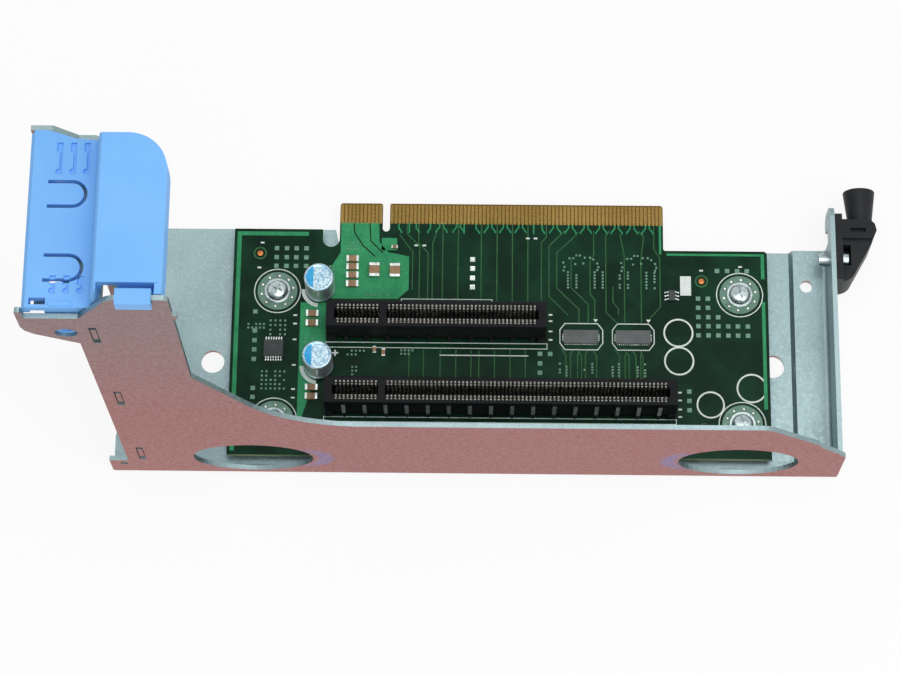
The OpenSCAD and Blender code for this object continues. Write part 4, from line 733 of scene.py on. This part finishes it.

# Card slots: the tips of the forked contacts in their pockets, and pale strips on the front ribs that are a painted
# highlight
slots = {"pitch": 1.0, "keyGap": 1.5, "leftCount": 11, "rows": (-2.35, -1.45, 1.45, 2.35), "tip": (0.44, 0.26, 1.0),
         "tipLow": 15.15, "ribFirst": -41.56, "ribPitch": 5.32, "rib": (0.95, 0.1, 6.6), "ribLow": 8.4,
         "ribCount": 16, "at": {"long_slot": (-12.6, 71), "short_slot": (7.72, 38)}}
for name, (middle, rightCount) in slots["at"].items():
    across = [board["keyX"] - slots["keyGap"] - i * slots["pitch"] for i in range(slots["leftCount"])]
    across += [board["keyX"] + slots["keyGap"] + i * slots["pitch"] for i in range(rightCount)]
    tip = raisedBlock(slots["tip"], slots["tipLow"], 0.08, -0.06)
    tips = copyTo(tip, [(x, middle + row) for x in across for row in slots["rows"]])
    finishPiece(tips, name + "_tips", "tinned phosphor bronze")
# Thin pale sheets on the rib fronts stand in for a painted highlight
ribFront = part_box("long_slot_housing")[0].y * 1000
ribs = [(slots["ribFirst"] + i * slots["ribPitch"], ribFront) for i in range(slots["ribCount"])]
rib = raisedBlock(slots["rib"], slots["ribLow"], 0.1)
bevelEdges(rib, 0.03, 1)
finishPiece(copyTo(rib, ribs), "rib_painted_highlights", "rib faces painted highlight")
print("card slots done")

# Pale floor, which keeps the object's shadow, and an even white studio
studio = {"floorLift": 0.86, "floorSize": 6.0, "fill": 0.45, "key": 7.0, "keySize": 0.9,
          "keyAt": (0.08, -0.2, 1.2), "side": 3.0, "sideAt": (0.7, -0.5, 0.7),
          "floorDrop": -0.0002, "fibre": 4, "paper": (0.9, 0.93), "paperRoughness": 0.9}
dropSelection()
bpy.ops.mesh.primitive_plane_add(size=studio["floorSize"], location=(0, 0, studio["floorDrop"]))
floor = bpy.context.object
floor.name = "studio_floor"
paper, tree, shader, place = startMaterial("white studio paper", 0.0, studio["paperRoughness"])
fibre = addNode(tree, "ShaderNodeTexNoise", {"Vector": place.outputs["Object"], "Scale": perMetre(studio["fibre"])})
tone = addNode(tree, "ShaderNodeMapRange", {"Value": fibre.outputs["Fac"], "To Min": studio["paper"][0],
                                                "To Max": studio["paper"][1]})
tree.links.new(tone.outputs[0], shader.inputs["Base Color"])
glow = addNode(tree, "ShaderNodeEmission", {"Color": (1, 1, 1, 1), "Strength": 1.0})
path = addNode(tree, "ShaderNodeLightPath")
seen = addNode(tree, "ShaderNodeMath", {0: path.outputs["Is Camera Ray"], 1: path.outputs["Is Glossy Ray"]},
               operation="MAXIMUM")
lift = addNode(tree, "ShaderNodeMath", {0: seen.outputs[0], 1: studio["floorLift"]}, operation="MULTIPLY")
output = tree.nodes["Material Output"]
mixed = addNode(tree, "ShaderNodeMixShader", {0: lift.outputs[0], 1: shader.outputs[0], 2: glow.outputs[0]})
tree.links.new(mixed.outputs[0], output.inputs["Surface"])
dress(floor, paper)

world = bpy.data.worlds.new("studio")
bpy.context.scene.world = world
world.use_nodes = True
sky = world.node_tree
path = addNode(sky, "ShaderNodeLightPath")
clear = addNode(sky, "ShaderNodeMath", {0: path.outputs["Is Camera Ray"], 1: path.outputs["Is Glossy Ray"]},
                operation="MAXIMUM")
clear = addNode(sky, "ShaderNodeMath", {0: clear.outputs[0], 1: path.outputs["Is Transmission Ray"]},
                operation="MAXIMUM")
level = addNode(sky, "ShaderNodeMapRange", {"Value": clear.outputs[0], "To Min": studio["fill"], "To Max": 1.0})
sky.nodes["Background"].inputs["Color"].default_value = (1, 1, 1, 1)
sky.links.new(level.outputs[0], sky.nodes["Background"].inputs["Strength"])

for name, power, spot in (("key", studio["key"], studio["keyAt"]), ("side", studio["side"], studio["sideAt"])):
    lamp = bpy.data.lights.new(name, "AREA")
    lamp.energy = power
    lamp.size = studio["keySize"]
    holder = bpy.data.objects.new(name, lamp)
    holder.location = spot
    holder.rotation_euler = (-Vector(spot)).to_track_quat("-Z", "Y").to_euler()
    bpy.context.scene.collection.objects.link(holder)

# Camera high above the near side, almost level with the flange's line
camera = {"at": (-8.517, -225.035, 684.083), "aim": (-14.945, 5.198, 5.0), "roll": -0.989, "lens": 111.57,
          "sensor": 36}
eye = bpy.data.cameras.new("camera")
eye.sensor_width = camera["sensor"]
eye.lens = camera["lens"]
holder = bpy.data.objects.new("camera", eye)
bpy.context.scene.collection.objects.link(holder)
back = (Vector(camera["at"]) - Vector(camera["aim"])).normalized()
across = Vector((0, 0, 1)).cross(back).normalized()
turn = Matrix.Rotation(math.radians(camera["roll"]), 3, back)
across = turn @ across
upward = back.cross(across)
place = Vector([mm(v) for v in camera["at"]])
holder.matrix_world = Matrix([(across[i], upward[i], back[i], place[i]) for i in range(3)] + [(0, 0, 0, 1)])
bpy.context.scene.camera = holder
bpy.context.scene.view_settings.view_transform = "Standard"
print("stage, lamps and camera done")
